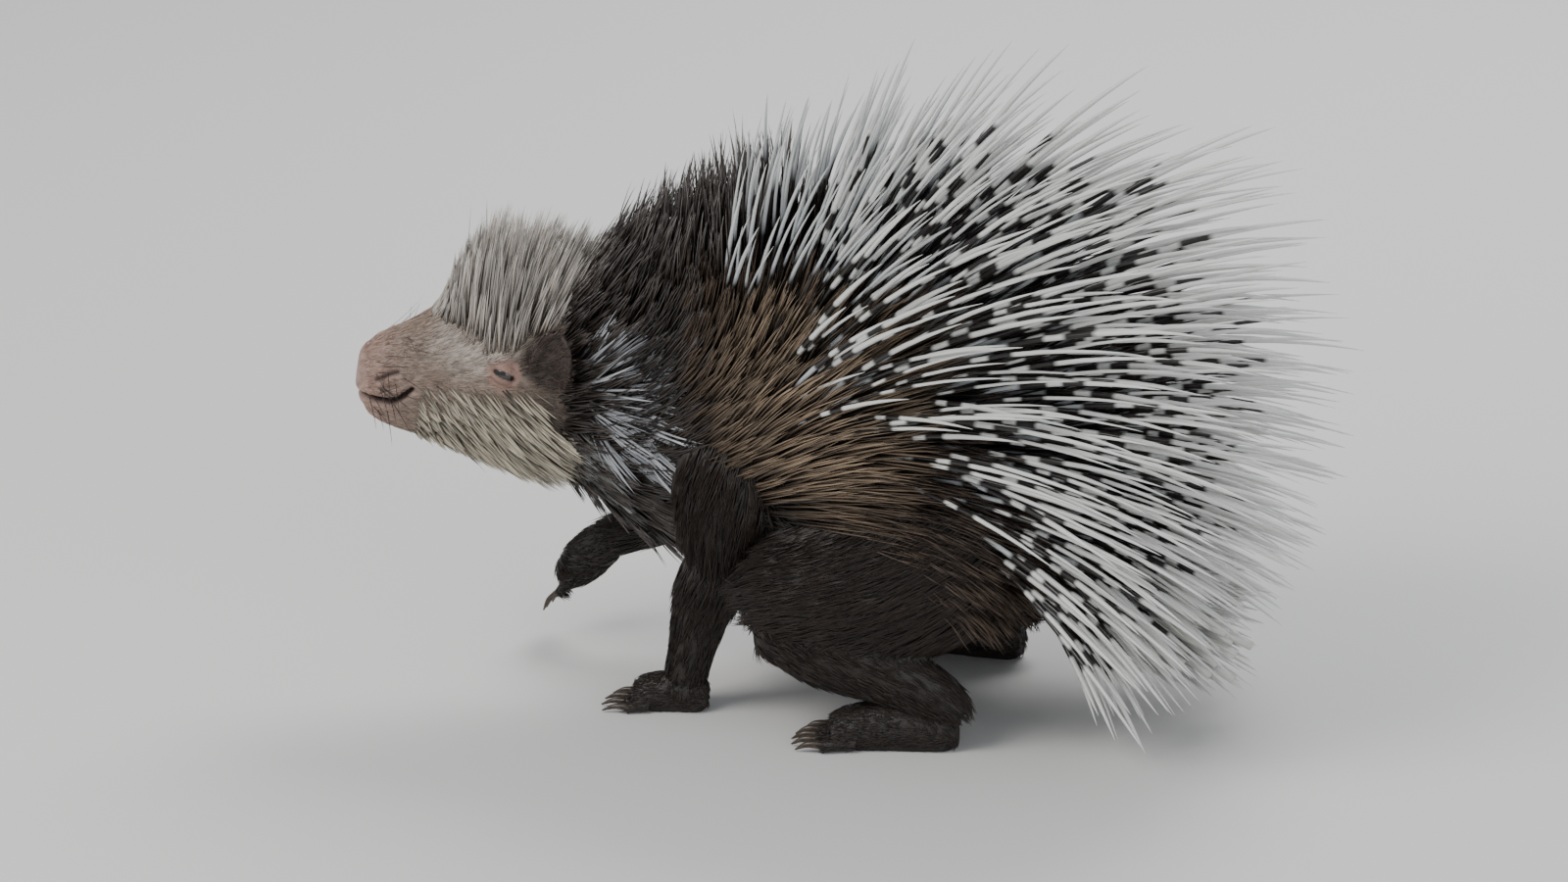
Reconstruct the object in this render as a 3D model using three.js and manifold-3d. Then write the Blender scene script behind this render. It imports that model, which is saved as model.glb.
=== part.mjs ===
// A crested porcupine, life size, crouched on its haunches with its head lifted, its eyes nearly
// shut, its right forepaw raised and its quills spread.
// Millimetres. +Z is up, the animal faces -X, its left side faces -Y, and the origin is on the
// floor at the middle of the model's box.

import * as THREE from "three";
import { mergeVertices } from "three/addons/utils/BufferGeometryUtils.js";
import Module from "manifold-3d";

const wasm = await Module();
wasm.setup();
const { Manifold } = wasm;

// Driving dimensions
const gap = 0.3; // clearance between neighbouring pieces
const backHeight = 291; // floor to the skin at the top of the arched back
const bodyHalfWidth = 100; // at the flanks
const headLength = 168; // nose tip to the back of the skull
const headTurn = THREE.MathUtils.degToRad(15); // the head is turned to the animal's left
const noseTip = new THREE.Vector3(-331, -50, 197);
const hindFootLength = 104;
const foreFootLength = 58;
const quillRadius = 1.9; // of a quill of the back at its thickest

const up = new THREE.Vector3(0, 0, 1);
const across = new THREE.Vector3(0, 1, 0);

// A seeded generator, so that every run draws the same quills.
function seeded(seed) {
  let state = seed >>> 0;
  return () => {
    state = (state + 0x6d2b79f5) >>> 0;
    let t = state;
    t = Math.imul(t ^ (t >>> 15), t | 1);
    t ^= t + Math.imul(t ^ (t >>> 7), t | 61);
    return ((t ^ (t >>> 14)) >>> 0) / 4294967296;
  };
}

// Turns a closed three.js geometry into a solid with its faces pointing out.
function solidFrom(geometry) {
  const plain = new THREE.BufferGeometry();
  const flat = geometry.index ? geometry.toNonIndexed() : geometry;
  plain.setAttribute("position", flat.getAttribute("position"));
  const merged = mergeVertices(plain, 1e-3);
  const triVerts = new Uint32Array(merged.index.array);
  const vertProperties = merged.attributes.position.array;
  const made = new Manifold(new wasm.Mesh({ numProp: 3, vertProperties, triVerts }));
  if (made.volume() >= 0) return made;
  for (let i = 0; i < triVerts.length; i += 3) {
    [triVerts[i + 1], triVerts[i + 2]] = [triVerts[i + 2], triVerts[i + 1]];
  }
  return new Manifold(new wasm.Mesh({ numProp: 3, vertProperties, triVerts }));
}

// The largest closed surface of a solid: scraps and sealed hollows are dropped.
function largest(solid) {
  const pieces = solid.decompose();
  const best = pieces.reduce((a, b) => (b.volume() > a.volume() ? b : a));
  return new Manifold(best.getMesh());
}

function geometryFrom(solid) {
  const mesh = solid.getMesh();
  const positions = new Float32Array(mesh.numVert * 3);
  for (let i = 0; i < mesh.numVert; i++) {
    const from = i * mesh.numProp;
    positions.set(mesh.vertProperties.subarray(from, from + 3), i * 3);
  }
  const geometry = new THREE.BufferGeometry();
  geometry.setAttribute("position", new THREE.BufferAttribute(positions, 3));
  geometry.setIndex(new THREE.BufferAttribute(mesh.triVerts, 1));
  return geometry;
}

// Joins rings of points into one closed skin, with a fan over each end. The last fan runs to the
// tip where one is given.
function ringGeometry(rings, tip) {
  const sides = rings[0].length;
  const mean = (ring) => {
    const sum = new THREE.Vector3();
    ring.forEach((p) => sum.add(p));
    return sum.divideScalar(sides);
  };
  const points = rings.flat();
  const first = points.push(mean(rings[0])) - 1;
  const last = points.push(tip ?? mean(rings.at(-1))) - 1;
  const index = [];
  for (let r = 0; r < rings.length - 1; r++) {
    for (let i = 0; i < sides; i++) {
      const j = (i + 1) % sides;
      const [a, b] = [r * sides + i, r * sides + j];
      index.push(a, b, b + sides, a, b + sides, a + sides);
    }
  }
  const end = (rings.length - 1) * sides;
  for (let i = 0; i < sides; i++) {
    const j = (i + 1) % sides;
    index.push(first, j, i, last, end + i, end + j);
  }
  const geometry = new THREE.BufferGeometry().setFromPoints(points);
  geometry.setIndex(index);
  return geometry;
}

// A rounded body part: stations along a smooth line, each with its half sizes over, under and
// across that line. Sections are ovals, squarer where the fullness is above 2.
class Loft {
  constructor(stations, { side = across, sides = 16, steps = 12, fullness = 2 }) {
    this.side = side;
    this.sides = sides;
    this.steps = steps;
    this.fullness = fullness;
    this.line = new THREE.CatmullRomCurve3(stations.map((s) => new THREE.Vector3(...s.at)));
    this.sizes = new THREE.CatmullRomCurve3(
      stations.map((s) => new THREE.Vector3(s.over, s.under ?? s.over, s.half)),
    );
  }

  // The centre, frame and half sizes at a share of the way along.
  section(share) {
    const along = this.line.getTangent(share);
    const over = new THREE.Vector3().crossVectors(along, this.side).normalize();
    const side = new THREE.Vector3().crossVectors(over, along).normalize();
    const [a, b, w] = this.sizes.getPoint(share).toArray();
    return { centre: this.line.getPoint(share), along, over, side, a, b, w };
  }

  // A point of the skin. The angle runs from 0 on top towards the side axis.
  point(share, angle, grow = 0) {
    const { centre, over, side, a, b, w } = this.section(share);
    const power = 2 / this.fullness;
    const bend = (v) => Math.sign(v) * Math.abs(v) ** power;
    const [c, s] = [bend(Math.cos(angle)), bend(Math.sin(angle))];
    const rise = (c > 0 ? Math.max(a, 0.5) : Math.max(b, 0.5)) + grow;
    return centre.addScaledVector(over, c * rise).addScaledVector(side, s * (Math.max(w, 0.5) + grow));
  }

  normal(share, angle) {
    const step = 0.004;
    const [s0, s1] = [Math.max(share - step, 0), Math.min(share + step, 1)];
    const alongSkin = this.point(s1, angle).sub(this.point(s0, angle));
    const roundSkin = this.point(share, angle + 0.02).sub(this.point(share, angle - 0.02));
    const normal = new THREE.Vector3().crossVectors(roundSkin, alongSkin).normalize();
    const outward = this.point(share, angle).sub(this.section(share).centre);
    return normal.dot(outward) < 0 ? normal.negate() : normal;
  }

  solid(grow = 0) {
    const rings = [];
    for (let r = 0; r <= this.steps; r++) {
      const share = r / this.steps;
      const reach = r === 0 ? -grow : r === this.steps ? grow : 0;
      const shift = this.line.getTangent(share).multiplyScalar(reach);
      const ring = [];
      for (let i = 0; i < this.sides; i++) {
        ring.push(this.point(share, (i / this.sides) * 2 * Math.PI, grow).add(shift));
      }
      rings.push(ring);
    }
    return solidFrom(ringGeometry(rings));
  }
}

// A round bar bent along points, with a radius at each end and rounded tips.
function bar(points, startRadius, endRadius, sides = 8, steps = 8) {
  const stations = points.map((p, i) => {
    const r = THREE.MathUtils.lerp(startRadius, endRadius, i / (points.length - 1));
    return { at: p, over: r, half: r };
  });
  return new Loft(stations, { side: across, sides, steps }).solid();
}

// A closed ring of bar, such as the rim of an eyelid.
function hoop(centreLine, radius, sides, steps) {
  const points = [];
  for (let r = 0; r < steps; r++) {
    const share = r / steps;
    const centre = centreLine(share);
    const along = centreLine(share + 0.01).sub(centreLine(share - 0.01)).normalize();
    const out = new THREE.Vector3().crossVectors(along, across).normalize();
    const second = new THREE.Vector3().crossVectors(along, out);
    for (let i = 0; i < sides; i++) {
      const angle = (i / sides) * 2 * Math.PI;
      const arm = out.clone().multiplyScalar(Math.cos(angle) * radius);
      points.push(centre.clone().add(arm).addScaledVector(second, Math.sin(angle) * radius));
    }
  }
  const index = [];
  for (let r = 0; r < steps; r++) {
    const next = (r + 1) % steps;
    for (let i = 0; i < sides; i++) {
      const j = (i + 1) % sides;
      const [a, b, c, d] = [r * sides + i, r * sides + j, next * sides + j, next * sides + i];
      index.push(a, b, c, a, c, d);
    }
  }
  const geometry = new THREE.BufferGeometry().setFromPoints(points);
  geometry.setIndex(index);
  return solidFrom(geometry);
}

function ball(centre, radius, detail = 10) {
  const geometry = new THREE.SphereGeometry(radius, detail, Math.round(detail * 0.7));
  return solidFrom(geometry.translate(...centre));
}

// Trunk

const trunk = new Loft(
  [
    { at: [-216, -19, 200], over: 40, under: 64, half: 36 },
    { at: [-182, -10, 205], over: 60, under: 92, half: 52 },
    { at: [-146, -3, 207], over: 71, under: 107, half: 65 },
    { at: [-106, 0, 203], over: 82, under: 112, half: 78 },
    { at: [-60, 0, 193], over: 96, under: 112, half: 89 },
    { at: [-12, 0, 178], over: backHeight - 178, under: 112, half: bodyHalfWidth - 2 },
    { at: [28, 0, 160], over: 119, under: 100, half: bodyHalfWidth },
    { at: [62, 0, 136], over: 98, under: 82, half: bodyHalfWidth - 5 },
    { at: [88, 0, 110], over: 68, under: 62, half: 78 },
    { at: [106, 0, 91], over: 37, under: 40, half: 50 },
    { at: [117, 0, 80], over: 11, under: 13, half: 16 },
  ],
  { sides: 20, steps: 17, fullness: 2.15 },
);

// Where the trunk is parted, as shares of its line.
const neckEnd = 0.275;
const chestEnd = 0.5;
const backEnd = 0.7;
const trunkParts = {
  neck: [0, neckEnd],
  chest: [neckEnd, chestEnd],
  back: [chestEnd, backEnd],
  rump: [backEnd, 1],
};

// The part of a solid between two shares of the trunk's line, grown for clearances.
function trunkLength(solid, from, to, grow = 0) {
  let piece = solid;
  for (const [share, way] of [[from, 1], [to, -1]]) {
    if (share <= 0 || share >= 1) continue;
    const { centre, along } = trunk.section(share);
    const normal = along.multiplyScalar(way);
    piece = piece.trimByPlane(normal.toArray(), normal.dot(centre) + gap / 2 - grow);
  }
  return piece;
}

// Head, in its own frame: origin at the nose tip, +X backwards, +Z up, +Y to the animal's right

const headFrame = new THREE.Matrix4().makeRotationZ(headTurn).setPosition(noseTip);
const inHead = (solid) => solid.transform(headFrame.elements);

const skull = new Loft(
  [
    { at: [-0.5, 0, 7.5], over: 7, under: 4.5, half: 6.5 },
    { at: [1.5, 0, 7.2], over: 14.5, under: 10, half: 15 },
    { at: [6, 0, 5.9], over: 21.5, under: 17, half: 22 },
    { at: [14, 0, 3.8], over: 28, under: 27, half: 26 },
    { at: [27, 0, 1.4], over: 35, under: 32, half: 28.5 },
    { at: [42, 0, 0], over: 43, under: 36, half: 29.5 },
    { at: [58, 0, 0], over: 48.5, under: 41, half: 32 },
    { at: [75, 0, 0], over: 53, under: 47, half: 35.5 },
    { at: [93, 0, 0], over: 57, under: 53, half: 39 },
    { at: [115, 0, 0], over: 56, under: 55, half: 42 },
    { at: [137, 0, 0], over: 50, under: 51, half: 42 },
    { at: [155, 0, 0], over: 36, under: 38, half: 34 },
    { at: [headLength, 0, 0], over: 14, under: 14, half: 14 },
  ],
  { sides: 20, steps: 19, fullness: 2.25 },
);

// The skull's own line in shares of its length, for a distance behind the nose tip.
function skullShare(distance) {
  let [low, high] = [0, 1];
  for (let i = 0; i < 24; i++) {
    const middle = (low + high) / 2;
    if (skull.line.getPoint(middle).x < distance) low = middle;
    else high = middle;
  }
  return low;
}

// The skin of the head at a distance behind the nose tip and a height. The side is -1 for the
// animal's left and 1 for its right.
function onFace(distance, height, side) {
  const share = skullShare(distance);
  let [low, high] = [0, Math.PI];
  for (let i = 0; i < 24; i++) {
    const middle = (low + high) / 2;
    if (skull.point(share, middle).z > height) low = middle;
    else high = middle;
  }
  return skull.point(share, low * side);
}

// The mouth line from its front to its corner, as distance behind the nose tip and height.
const mouthLine = [
  [-4, -5],
  [7, -5.8],
  [14, -7.4],
  [21, -7.8],
  [28, -4.5],
  [35, 1.2],
];
const mouthOpening = 2; // half the height of the parted lips at their widest

// The chin and lower jaw are what lies under the mouth line, ahead of the angle of the jaw.
function jawBlock(drop, reach) {
  const outline = new THREE.Shape();
  const front = mouthLine.map(([x, z], i) => {
    const closing = Math.sin(Math.PI * (0.3 + (0.7 * i) / (mouthLine.length - 1)));
    return [x, z - drop * mouthOpening * closing - (drop > 0 ? gap / 2 : -gap / 2)];
  });
  outline.moveTo(...front[0]);
  front.slice(1).forEach((p) => outline.lineTo(...p));
  outline.lineTo(52 + reach, -18);
  outline.lineTo(84 + reach, -30);
  outline.lineTo(98 + reach, -70);
  outline.lineTo(-6, -70);
  const block = new THREE.ExtrudeGeometry(outline, { depth: 120, bevelEnabled: false });
  return solidFrom(block.rotateX(Math.PI / 2).translate(0, 60, 0));
}

// A lip follows the mouth line round the muzzle from one corner to the other.
function lip(offset, radius) {
  const reach = mouthLine.slice(1);
  const corner = (side) => reach.map(([x, z]) => onFace(x, z + offset, side));
  const left = corner(-1).reverse();
  const points = [...left, new THREE.Vector3(offset > 0 ? 2.4 : 6.4, 0, mouthLine[0][1] + offset), ...corner(1)];
  const stations = points.map((p, i) => {
    const thin = i === 0 || i === points.length - 1;
    const r = thin ? radius * 0.55 : radius;
    return { at: p.toArray(), over: r, half: r };
  });
  return new Loft(stations, { side: up, sides: 5, steps: 14 }).solid();
}

// A nostril is a bent slit beside the tip of the muzzle.
function nostril(side) {
  const route = [
    [12, 6],
    [16, 8],
    [21, 10.5],
    [26, 12],
  ];
  const points = route.map(([x, z]) => onFace(x, z, side).toArray());
  return bar(points, 1.7, 0.9, 5, 5);
}

const eyePlace = { distance: 93, height: 13 };
const eyeRadius = 8;
const eyeDepth = 5.6; // from the skin in to the middle of the eyeball
const lidHalf = { along: 8.6, high: 3.5, radius: 2.5 };
const lidTilt = THREE.MathUtils.degToRad(-24); // the front corner is the higher one

function eyeCentre(side) {
  const skin = onFace(eyePlace.distance, eyePlace.height, side);
  return skin.add(new THREE.Vector3(0, -side * eyeDepth, 0));
}

// The two lids as one puffy rim round the narrow slit.
function lids(side) {
  const line = (share) => {
    const angle = share * 2 * Math.PI;
    const along = lidHalf.along * Math.cos(angle);
    const high = lidHalf.high * Math.sin(angle);
    const x = eyePlace.distance + along * Math.cos(lidTilt) - high * Math.sin(lidTilt);
    const z = eyePlace.height + along * Math.sin(lidTilt) + high * Math.cos(lidTilt);
    return onFace(x, z, side);
  };
  return hoop(line, lidHalf.radius, 5, 14);
}

// A thin cupped ear, its hollow facing out and forward.
function earShell(side, grow = 0) {
  const [height, halfWidth, wall, rows, columns] = [43, 13 + grow, 2.2 + 2 * grow, 6, 6];
  const root = onFace(120, 14, side);
  const lean = new THREE.Vector3(0.2, side * 0.26, 0.94).normalize();
  const back = new THREE.Vector3(0.3, -side * 0.94, -0.1);
  back.addScaledVector(lean, -back.dot(lean)).normalize();
  const width = new THREE.Vector3().crossVectors(back, lean).normalize();
  const sheet = (row, column, face) => {
    const t = row / rows;
    const q = (column / columns) * 2 - 1;
    const span = halfWidth * Math.sqrt(Math.max(0.02, 1 - Math.abs(t * 1.55 - 0.57) ** 2.4)) + 0.4;
    const outward = side * 9 * Math.min(1, 2.4 * t);
    const cup = 7.5 * (q * q - 1) * (1 - 0.45 * t);
    const thick = Math.max(wall * (1 - 0.45 * t) * (1 - 0.35 * q * q), 2 * grow);
    return root
      .clone()
      .addScaledVector(lean, (height + grow) * t - 10)
      .addScaledVector(new THREE.Vector3(0, 1, 0), outward)
      .addScaledVector(width, q * span)
      .addScaledVector(back, -cup + (face * thick) / 2);
  };
  const rings = [];
  for (let row = 0; row <= rows; row++) {
    const ring = [];
    for (let c = 0; c <= columns; c++) ring.push(sheet(row, c, 1));
    for (let c = columns; c >= 0; c--) ring.push(sheet(row, c, -1));
    rings.push(ring);
  }
  return solidFrom(ringGeometry(rings));
}

function buildHead() {
  const sockets = [-1, 1].map((side) => ball(eyeCentre(side).toArray(), eyeRadius + gap, 10));
  const upper = skull.solid().subtract(jawBlock(-1, 1.2 * gap));
  const withLips = Manifold.union([upper, lip(2.6, 3), lids(-1), lids(1)]);
  const jaw = skull.solid().intersect(jawBlock(1, 0)).add(lip(-4.4, 2.4));
  const head = withLips.subtract(Manifold.union([...sockets, nostril(-1), nostril(1)]));
  return {
    head: largest(head.subtract(jawBlock(-1, 1.2 * gap))),
    jaw: largest(jaw.intersect(jawBlock(1, 0))),
  };
}

// Legs, drawn on the animal's left and mirrored to its right

const mirror = (solid) => solid.mirror([0, 1, 0]);

const thigh = new Loft(
  [
    { at: [92, -62, 150], over: 26, half: 30 },
    { at: [72, -74, 136], over: 36, half: 50 },
    { at: [40, -82, 118], over: 37, half: 58 },
    { at: [4, -86, 102], over: 33, half: 52 },
    { at: [-38, -90, 90], over: 26, half: 41 },
    { at: [-66, -92, 82], over: 13, half: 24 },
  ],
  { side: new THREE.Vector3(0.35, 0, 1), sides: 12, steps: 6, fullness: 2.1 },
);

const shank = new Loft(
  [
    { at: [-54, -92, 76], over: 17, half: 22 },
    { at: [-18, -92, 62], over: 20, half: 26 },
    { at: [28, -90, 46], over: 18, half: 21 },
    { at: [56, -88, 30], over: 14, half: 16 },
    { at: [66, -87, 20], over: 11, half: 12 },
  ],
  { side: new THREE.Vector3(0.4, 0, 1), sides: 10, steps: 5 },
);

const upperArm = new Loft(
  [
    { at: [-72, -56, 196], over: 22, half: 34 },
    { at: [-80, -66, 168], over: 27, half: 38 },
    { at: [-86, -70, 138], over: 25, half: 32 },
    { at: [-88, -70, 112], over: 20, half: 24 },
    { at: [-90, -68, 98], over: 12, half: 15 },
  ],
  { side: new THREE.Vector3(1, 0, 0), sides: 10, steps: 5 },
);

const forearm = new Loft(
  [
    { at: [-88, -68, 112], over: 19, half: 21 },
    { at: [-96, -66, 90], over: 19, half: 21 },
    { at: [-106, -62, 62], over: 16, half: 17 },
    { at: [-113, -59, 36], over: 13, half: 14 },
    { at: [-117, -58, 18], over: 12, half: 13 },
  ],
  { side: new THREE.Vector3(1, 0, 0), sides: 10, steps: 5 },
);

const raisedArm = new Loft(
  [
    { at: [-70, 56, 190], over: 22, half: 32 },
    { at: [-84, 66, 164], over: 26, half: 36 },
    { at: [-98, 69, 136], over: 24, half: 31 },
    { at: [-108, 68, 112], over: 18, half: 23 },
    { at: [-112, 66, 100], over: 11, half: 14 },
  ],
  { side: new THREE.Vector3(1, 0, 0), sides: 10, steps: 5 },
);

const raisedForearm = new Loft(
  [
    { at: [-104, 68, 112], over: 18, half: 20 },
    { at: [-128, 64, 98], over: 19, half: 19 },
    { at: [-160, 58, 85], over: 16, half: 16 },
    { at: [-188, 52, 74], over: 13, half: 13 },
    { at: [-203, 49, 68], over: 12, half: 12 },
  ],
  { side: new THREE.Vector3(0, 1, 0), sides: 10, steps: 5 },
);

// A foot that points along -X with its sole on z = 0: a pad, its toes and their claws.
function footSolid({ length, half, height, toes, toeLength, clawLength, spread }) {
  const sole = new Loft(
    [
      { at: [2, 0, height * 0.42], over: height * 0.34, half: half * 0.45 },
      { at: [-length * 0.08, 0, height * 0.42], over: height * 0.55, half: half * 0.7 },
      { at: [-length * 0.35, 0, height * 0.4], over: height * 0.58, half: half * 0.78 },
      { at: [-length * 0.62, 0, height * 0.34], over: height * 0.48, half: half },
      { at: [-length * 0.72, 0, height * 0.28], over: height * 0.34, half: half * 0.9 },
    ],
    { sides: 9, steps: 4 },
  ).solid();
  const pieces = [sole];
  for (let toe = 0; toe < toes; toe++) {
    const place = (toe / (toes - 1)) * 2 - 1;
    const reach = toeLength * (1 - 0.22 * place * place);
    const [x0, y0] = [-length * 0.58, place * half * 0.78];
    const [x1, y1] = [-length * 0.62 - reach, place * half * spread];
    const thick = half * 0.27;
    const middle = [(x0 + x1) / 2, (y0 + y1) / 2, thick * 1.25];
    pieces.push(bar([[x0, y0, thick * 1.1], middle, [x1, y1, thick * 0.8]], thick, thick * 0.85, 5, 2));
    const claw = [
      [x1 + thick * 0.6, y1, thick * 1.1],
      [x1 - clawLength * 0.5, y1, thick * 1.15],
      [x1 - clawLength, y1, thick * 0.35],
    ];
    pieces.push(bar(claw, thick * 0.62, 0.7, 4, 2));
  }
  return Manifold.union(pieces).trimByPlane([0, 0, 1], 0);
}

const hindFoot = () =>
  footSolid({
    length: hindFootLength,
    half: 17,
    height: 30,
    toes: 5,
    toeLength: 22,
    clawLength: 15,
    spread: 1.12,
  });

const foreFoot = () =>
  footSolid({
    length: foreFootLength,
    half: 14,
    height: 25,
    toes: 4,
    toeLength: 14,
    clawLength: 15,
    spread: 1.15,
  });

function placed(solid, { at, turn = 0, dip = 0 }) {
  const matrix = new THREE.Matrix4().makeRotationFromEuler(new THREE.Euler(0, dip, turn, "ZYX"));
  return solid.transform(matrix.setPosition(...at).elements);
}

const degrees = THREE.MathUtils.degToRad;
const hindFootPlace = { at: [64, -87, 0], turn: degrees(7) };
const foreFootPlace = { at: [-104, -59, 0], turn: degrees(4) };
const raisedFootPlace = { at: [-190, 51, 62], turn: degrees(-4), dip: degrees(-42) };

// Tail

const tail = new Loft(
  [
    { at: [96, 0, 92], over: 26, half: 30 },
    { at: [114, 0, 88], over: 25, half: 28 },
    { at: [136, 0, 83], over: 20, half: 22 },
    { at: [158, 0, 78], over: 15, half: 16 },
    { at: [172, 0, 75], over: 8, half: 9 },
  ],
  { sides: 12, steps: 6 },
);

// Every node of flesh, as a solid and as the space its neighbours' spines keep out of.
function buildFlesh() {
  const { head, jaw } = buildHead();
  const skullGrown = inHead(skull.solid(gap));
  const flesh = new Map();
  const keepOut = new Map();
  const put = (name, solid, room) => {
    flesh.set(name, largest(solid));
    keepOut.set(name, room);
  };
  put("head", inHead(head), inHead(skull.solid(gap).subtract(jawBlock(1, 0))));
  put("jaw", inHead(jaw), inHead(skull.solid(gap).intersect(jawBlock(-1, 1.2 * gap))));
  for (const [name, [from, to]] of Object.entries(trunkParts)) {
    put(name, trunkLength(trunk.solid(), from, to).subtract(skullGrown), trunkLength(trunk.solid(gap), from, to, gap));
  }
  const trunkGrown = trunk.solid(gap).add(trunk.solid(3 * gap).trimByPlane([1, 0, 0], 90));
  put("tail", tail.solid().subtract(trunkGrown), tail.solid(gap));

  const hindPair = (name, solid, grown) => {
    put(`left_${name}`, solid, grown);
    put(`right_${name}`, mirror(solid), mirror(grown));
  };
  hindPair("thigh", thigh.solid().subtract(trunkGrown), thigh.solid(gap));
  const overShank = trunkGrown.add(thigh.solid(gap));
  hindPair("shank", shank.solid().subtract(overShank), shank.solid(gap));
  const foot = placed(hindFoot(), hindFootPlace);
  hindPair("hind_foot", foot.subtract(shank.solid(gap)).subtract(thigh.solid(gap)), foot);

  put("left_upper_arm", upperArm.solid().subtract(trunkGrown), upperArm.solid(gap));
  const overForearm = trunkGrown.add(upperArm.solid(gap));
  put("left_forearm", forearm.solid().subtract(overForearm), forearm.solid(gap));
  const paw = placed(foreFoot(), foreFootPlace);
  put("left_forefoot", paw.subtract(forearm.solid(gap)), paw);

  put("right_upper_arm", raisedArm.solid().subtract(trunkGrown), raisedArm.solid(gap));
  const overRaised = trunkGrown.add(raisedArm.solid(gap));
  put("right_forearm", raisedForearm.solid().subtract(overRaised), raisedForearm.solid(gap));
  const raisedPaw = placed(foreFoot(), raisedFootPlace);
  put("right_forefoot", raisedPaw.subtract(raisedForearm.solid(gap)), raisedPaw);

  for (const [name, side] of [["left", -1], ["right", 1]]) {
    const eyeball = inHead(ball(eyeCentre(side).toArray(), eyeRadius));
    put(`${name}_eye`, eyeball, eyeball);
    const shell = inHead(earShell(side));
    put(`${name}_ear`, shell.subtract(skullGrown).subtract(trunkGrown), inHead(earShell(side, 1)));
  }
  return { flesh, keepOut };
}

// Quills and locks

const spans = [0.3, 0.68]; // where a quill or lock bends, as shares of its length

// Values read off a short list of [position, value] pairs.
function reading(list, position) {
  const after = list.findIndex(([at]) => at >= position);
  if (after === 0) return list[0][1];
  if (after < 0) return list.at(-1)[1];
  const [[x0, y0], [x1, y1]] = [list[after - 1], list[after]];
  return y0 + ((y1 - y0) * (position - x0)) / (x1 - x0);
}

// A quill or lock from its sunk root to its tip, as four points.
function strand({ root, lie, bend, length, sink }) {
  const at = (share) =>
    root
      .clone()
      .addScaledVector(lie, length * share)
      .addScaledVector(bend, length * share * share);
  return [root.clone().addScaledVector(lie, -sink), ...spans.map(at), at(1)];
}

// A strand as a solid: three sided and round for a quill, flat and four sided for a lock.
function strandSolid({ points, normal, width, thickness, sides }) {
  const share = [0.75, 1, 0.72];
  const rings = share.map((size, r) => {
    const along = points[r + 1].clone().sub(points[r]).normalize();
    const flat = new THREE.Vector3().crossVectors(along, normal).normalize();
    const proud = new THREE.Vector3().crossVectors(flat, along);
    return Array.from({ length: sides }, (_, i) => {
      const angle = (i / sides + 0.25) * 2 * Math.PI;
      return points[r]
        .clone()
        .addScaledVector(flat, (Math.cos(angle) * size * width) / 2)
        .addScaledVector(proud, (Math.sin(angle) * size * thickness) / 2);
    });
  });
  return solidFrom(ringGeometry(rings, points[3]));
}

// The shortest distance between two straight spans.
function spanDistance(a, b, c, d) {
  const [u, v, w] = [b.clone().sub(a), d.clone().sub(c), a.clone().sub(c)];
  const [uu, uv, vv, uw, vw] = [u.dot(u), u.dot(v), v.dot(v), u.dot(w), v.dot(w)];
  const clamp = (x) => Math.min(Math.max(x, 0), 1);
  const det = uu * vv - uv * uv;
  let s = det > 1e-6 ? clamp((uv * vw - vv * uw) / det) : 0;
  const t = clamp((uv * s + vw) / vv);
  s = clamp((uv * t - uw) / uu);
  return w.addScaledVector(u, s).addScaledVector(v, -t).length();
}

function clearOf(one, other) {
  const need = (one.width + other.width) / 2 + 2 * gap;
  if (one.centre.distanceTo(other.centre) > one.reach + other.reach + need) return true;
  for (let i = 0; i < 3; i++) {
    for (let j = 0; j < 3; j++) {
      const [a, b] = [one.points[i], one.points[i + 1]];
      if (spanDistance(a, b, other.points[j], other.points[j + 1]) < need) return false;
    }
  }
  return true;
}

const strands = [];

// Draws strands over one area, each at the freest of a few places, and keeps those that clear
// every strand drawn before them.
function grow({ node, count, tries = 8, draw, seed }) {
  const random = seeded(seed);
  const spread = (low, high) => low + (high - low) * random();
  const mine = [];
  for (let i = 0; i < count; i++) {
    let best = null;
    for (let t = 0; t < tries; t++) {
      const made = draw(spread);
      const points = strand(made);
      const centre = points[0].clone().add(points[3]).multiplyScalar(0.5);
      const reach = Math.max(...points.map((p) => p.distanceTo(centre)));
      const piece = { node, seed, ...made, points, centre, reach };
      if (points[3].z < 6 || !strands.every((other) => clearOf(piece, other))) continue;
      const free = Math.min(...mine.map((other) => other.root.distanceTo(made.root)), 1e6);
      if (!best || free > best.free) best = { free, piece };
    }
    if (!best) continue;
    mine.push(best.piece);
    strands.push(best.piece);
  }
}

// Along the trunk's top line: how steeply the quills rise, and how long they are.
const riseAlong = [
  [0, 62], [0.12, 74], [0.2, 86], [0.3, 97], [0.38, 88], [0.42, 77], [0.46, 64], [0.5, 52],
  [0.56, 41], [0.62, 32], [0.7, 21], [0.8, 7], [0.9, -9], [1, -22],
];
const lengthAlong = [
  [0, 50], [0.1, 68], [0.2, 94], [0.3, 112], [0.38, 132], [0.44, 160], [0.5, 200], [0.56, 206],
  [0.62, 192], [0.7, 174], [0.8, 150], [0.9, 122], [1, 94],
];
const flankFall = degrees(23); // how much lower the quills of the flank point
const outwardYaw = degrees(26);

// The way the coat points at a place on the trunk, never flatter to the skin than a given share.
function trunkLie(share, angle, spread, stand) {
  const side = Math.abs(angle) / 1.25;
  const rise = degrees(reading(riseAlong, share)) - flankFall * side * side + degrees(spread(-7, 7));
  const yaw = Math.sign(angle) * outwardYaw * Math.min(side, 1.2) + degrees(spread(-9, 9));
  const lie = new THREE.Vector3(Math.cos(rise) * Math.cos(yaw), Math.sin(yaw), Math.sin(rise) * Math.cos(yaw));
  const normal = trunk.normal(share, angle);
  lie.addScaledVector(normal, Math.max(0, stand - lie.dot(normal)));
  return { lie: lie.normalize(), normal };
}

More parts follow.
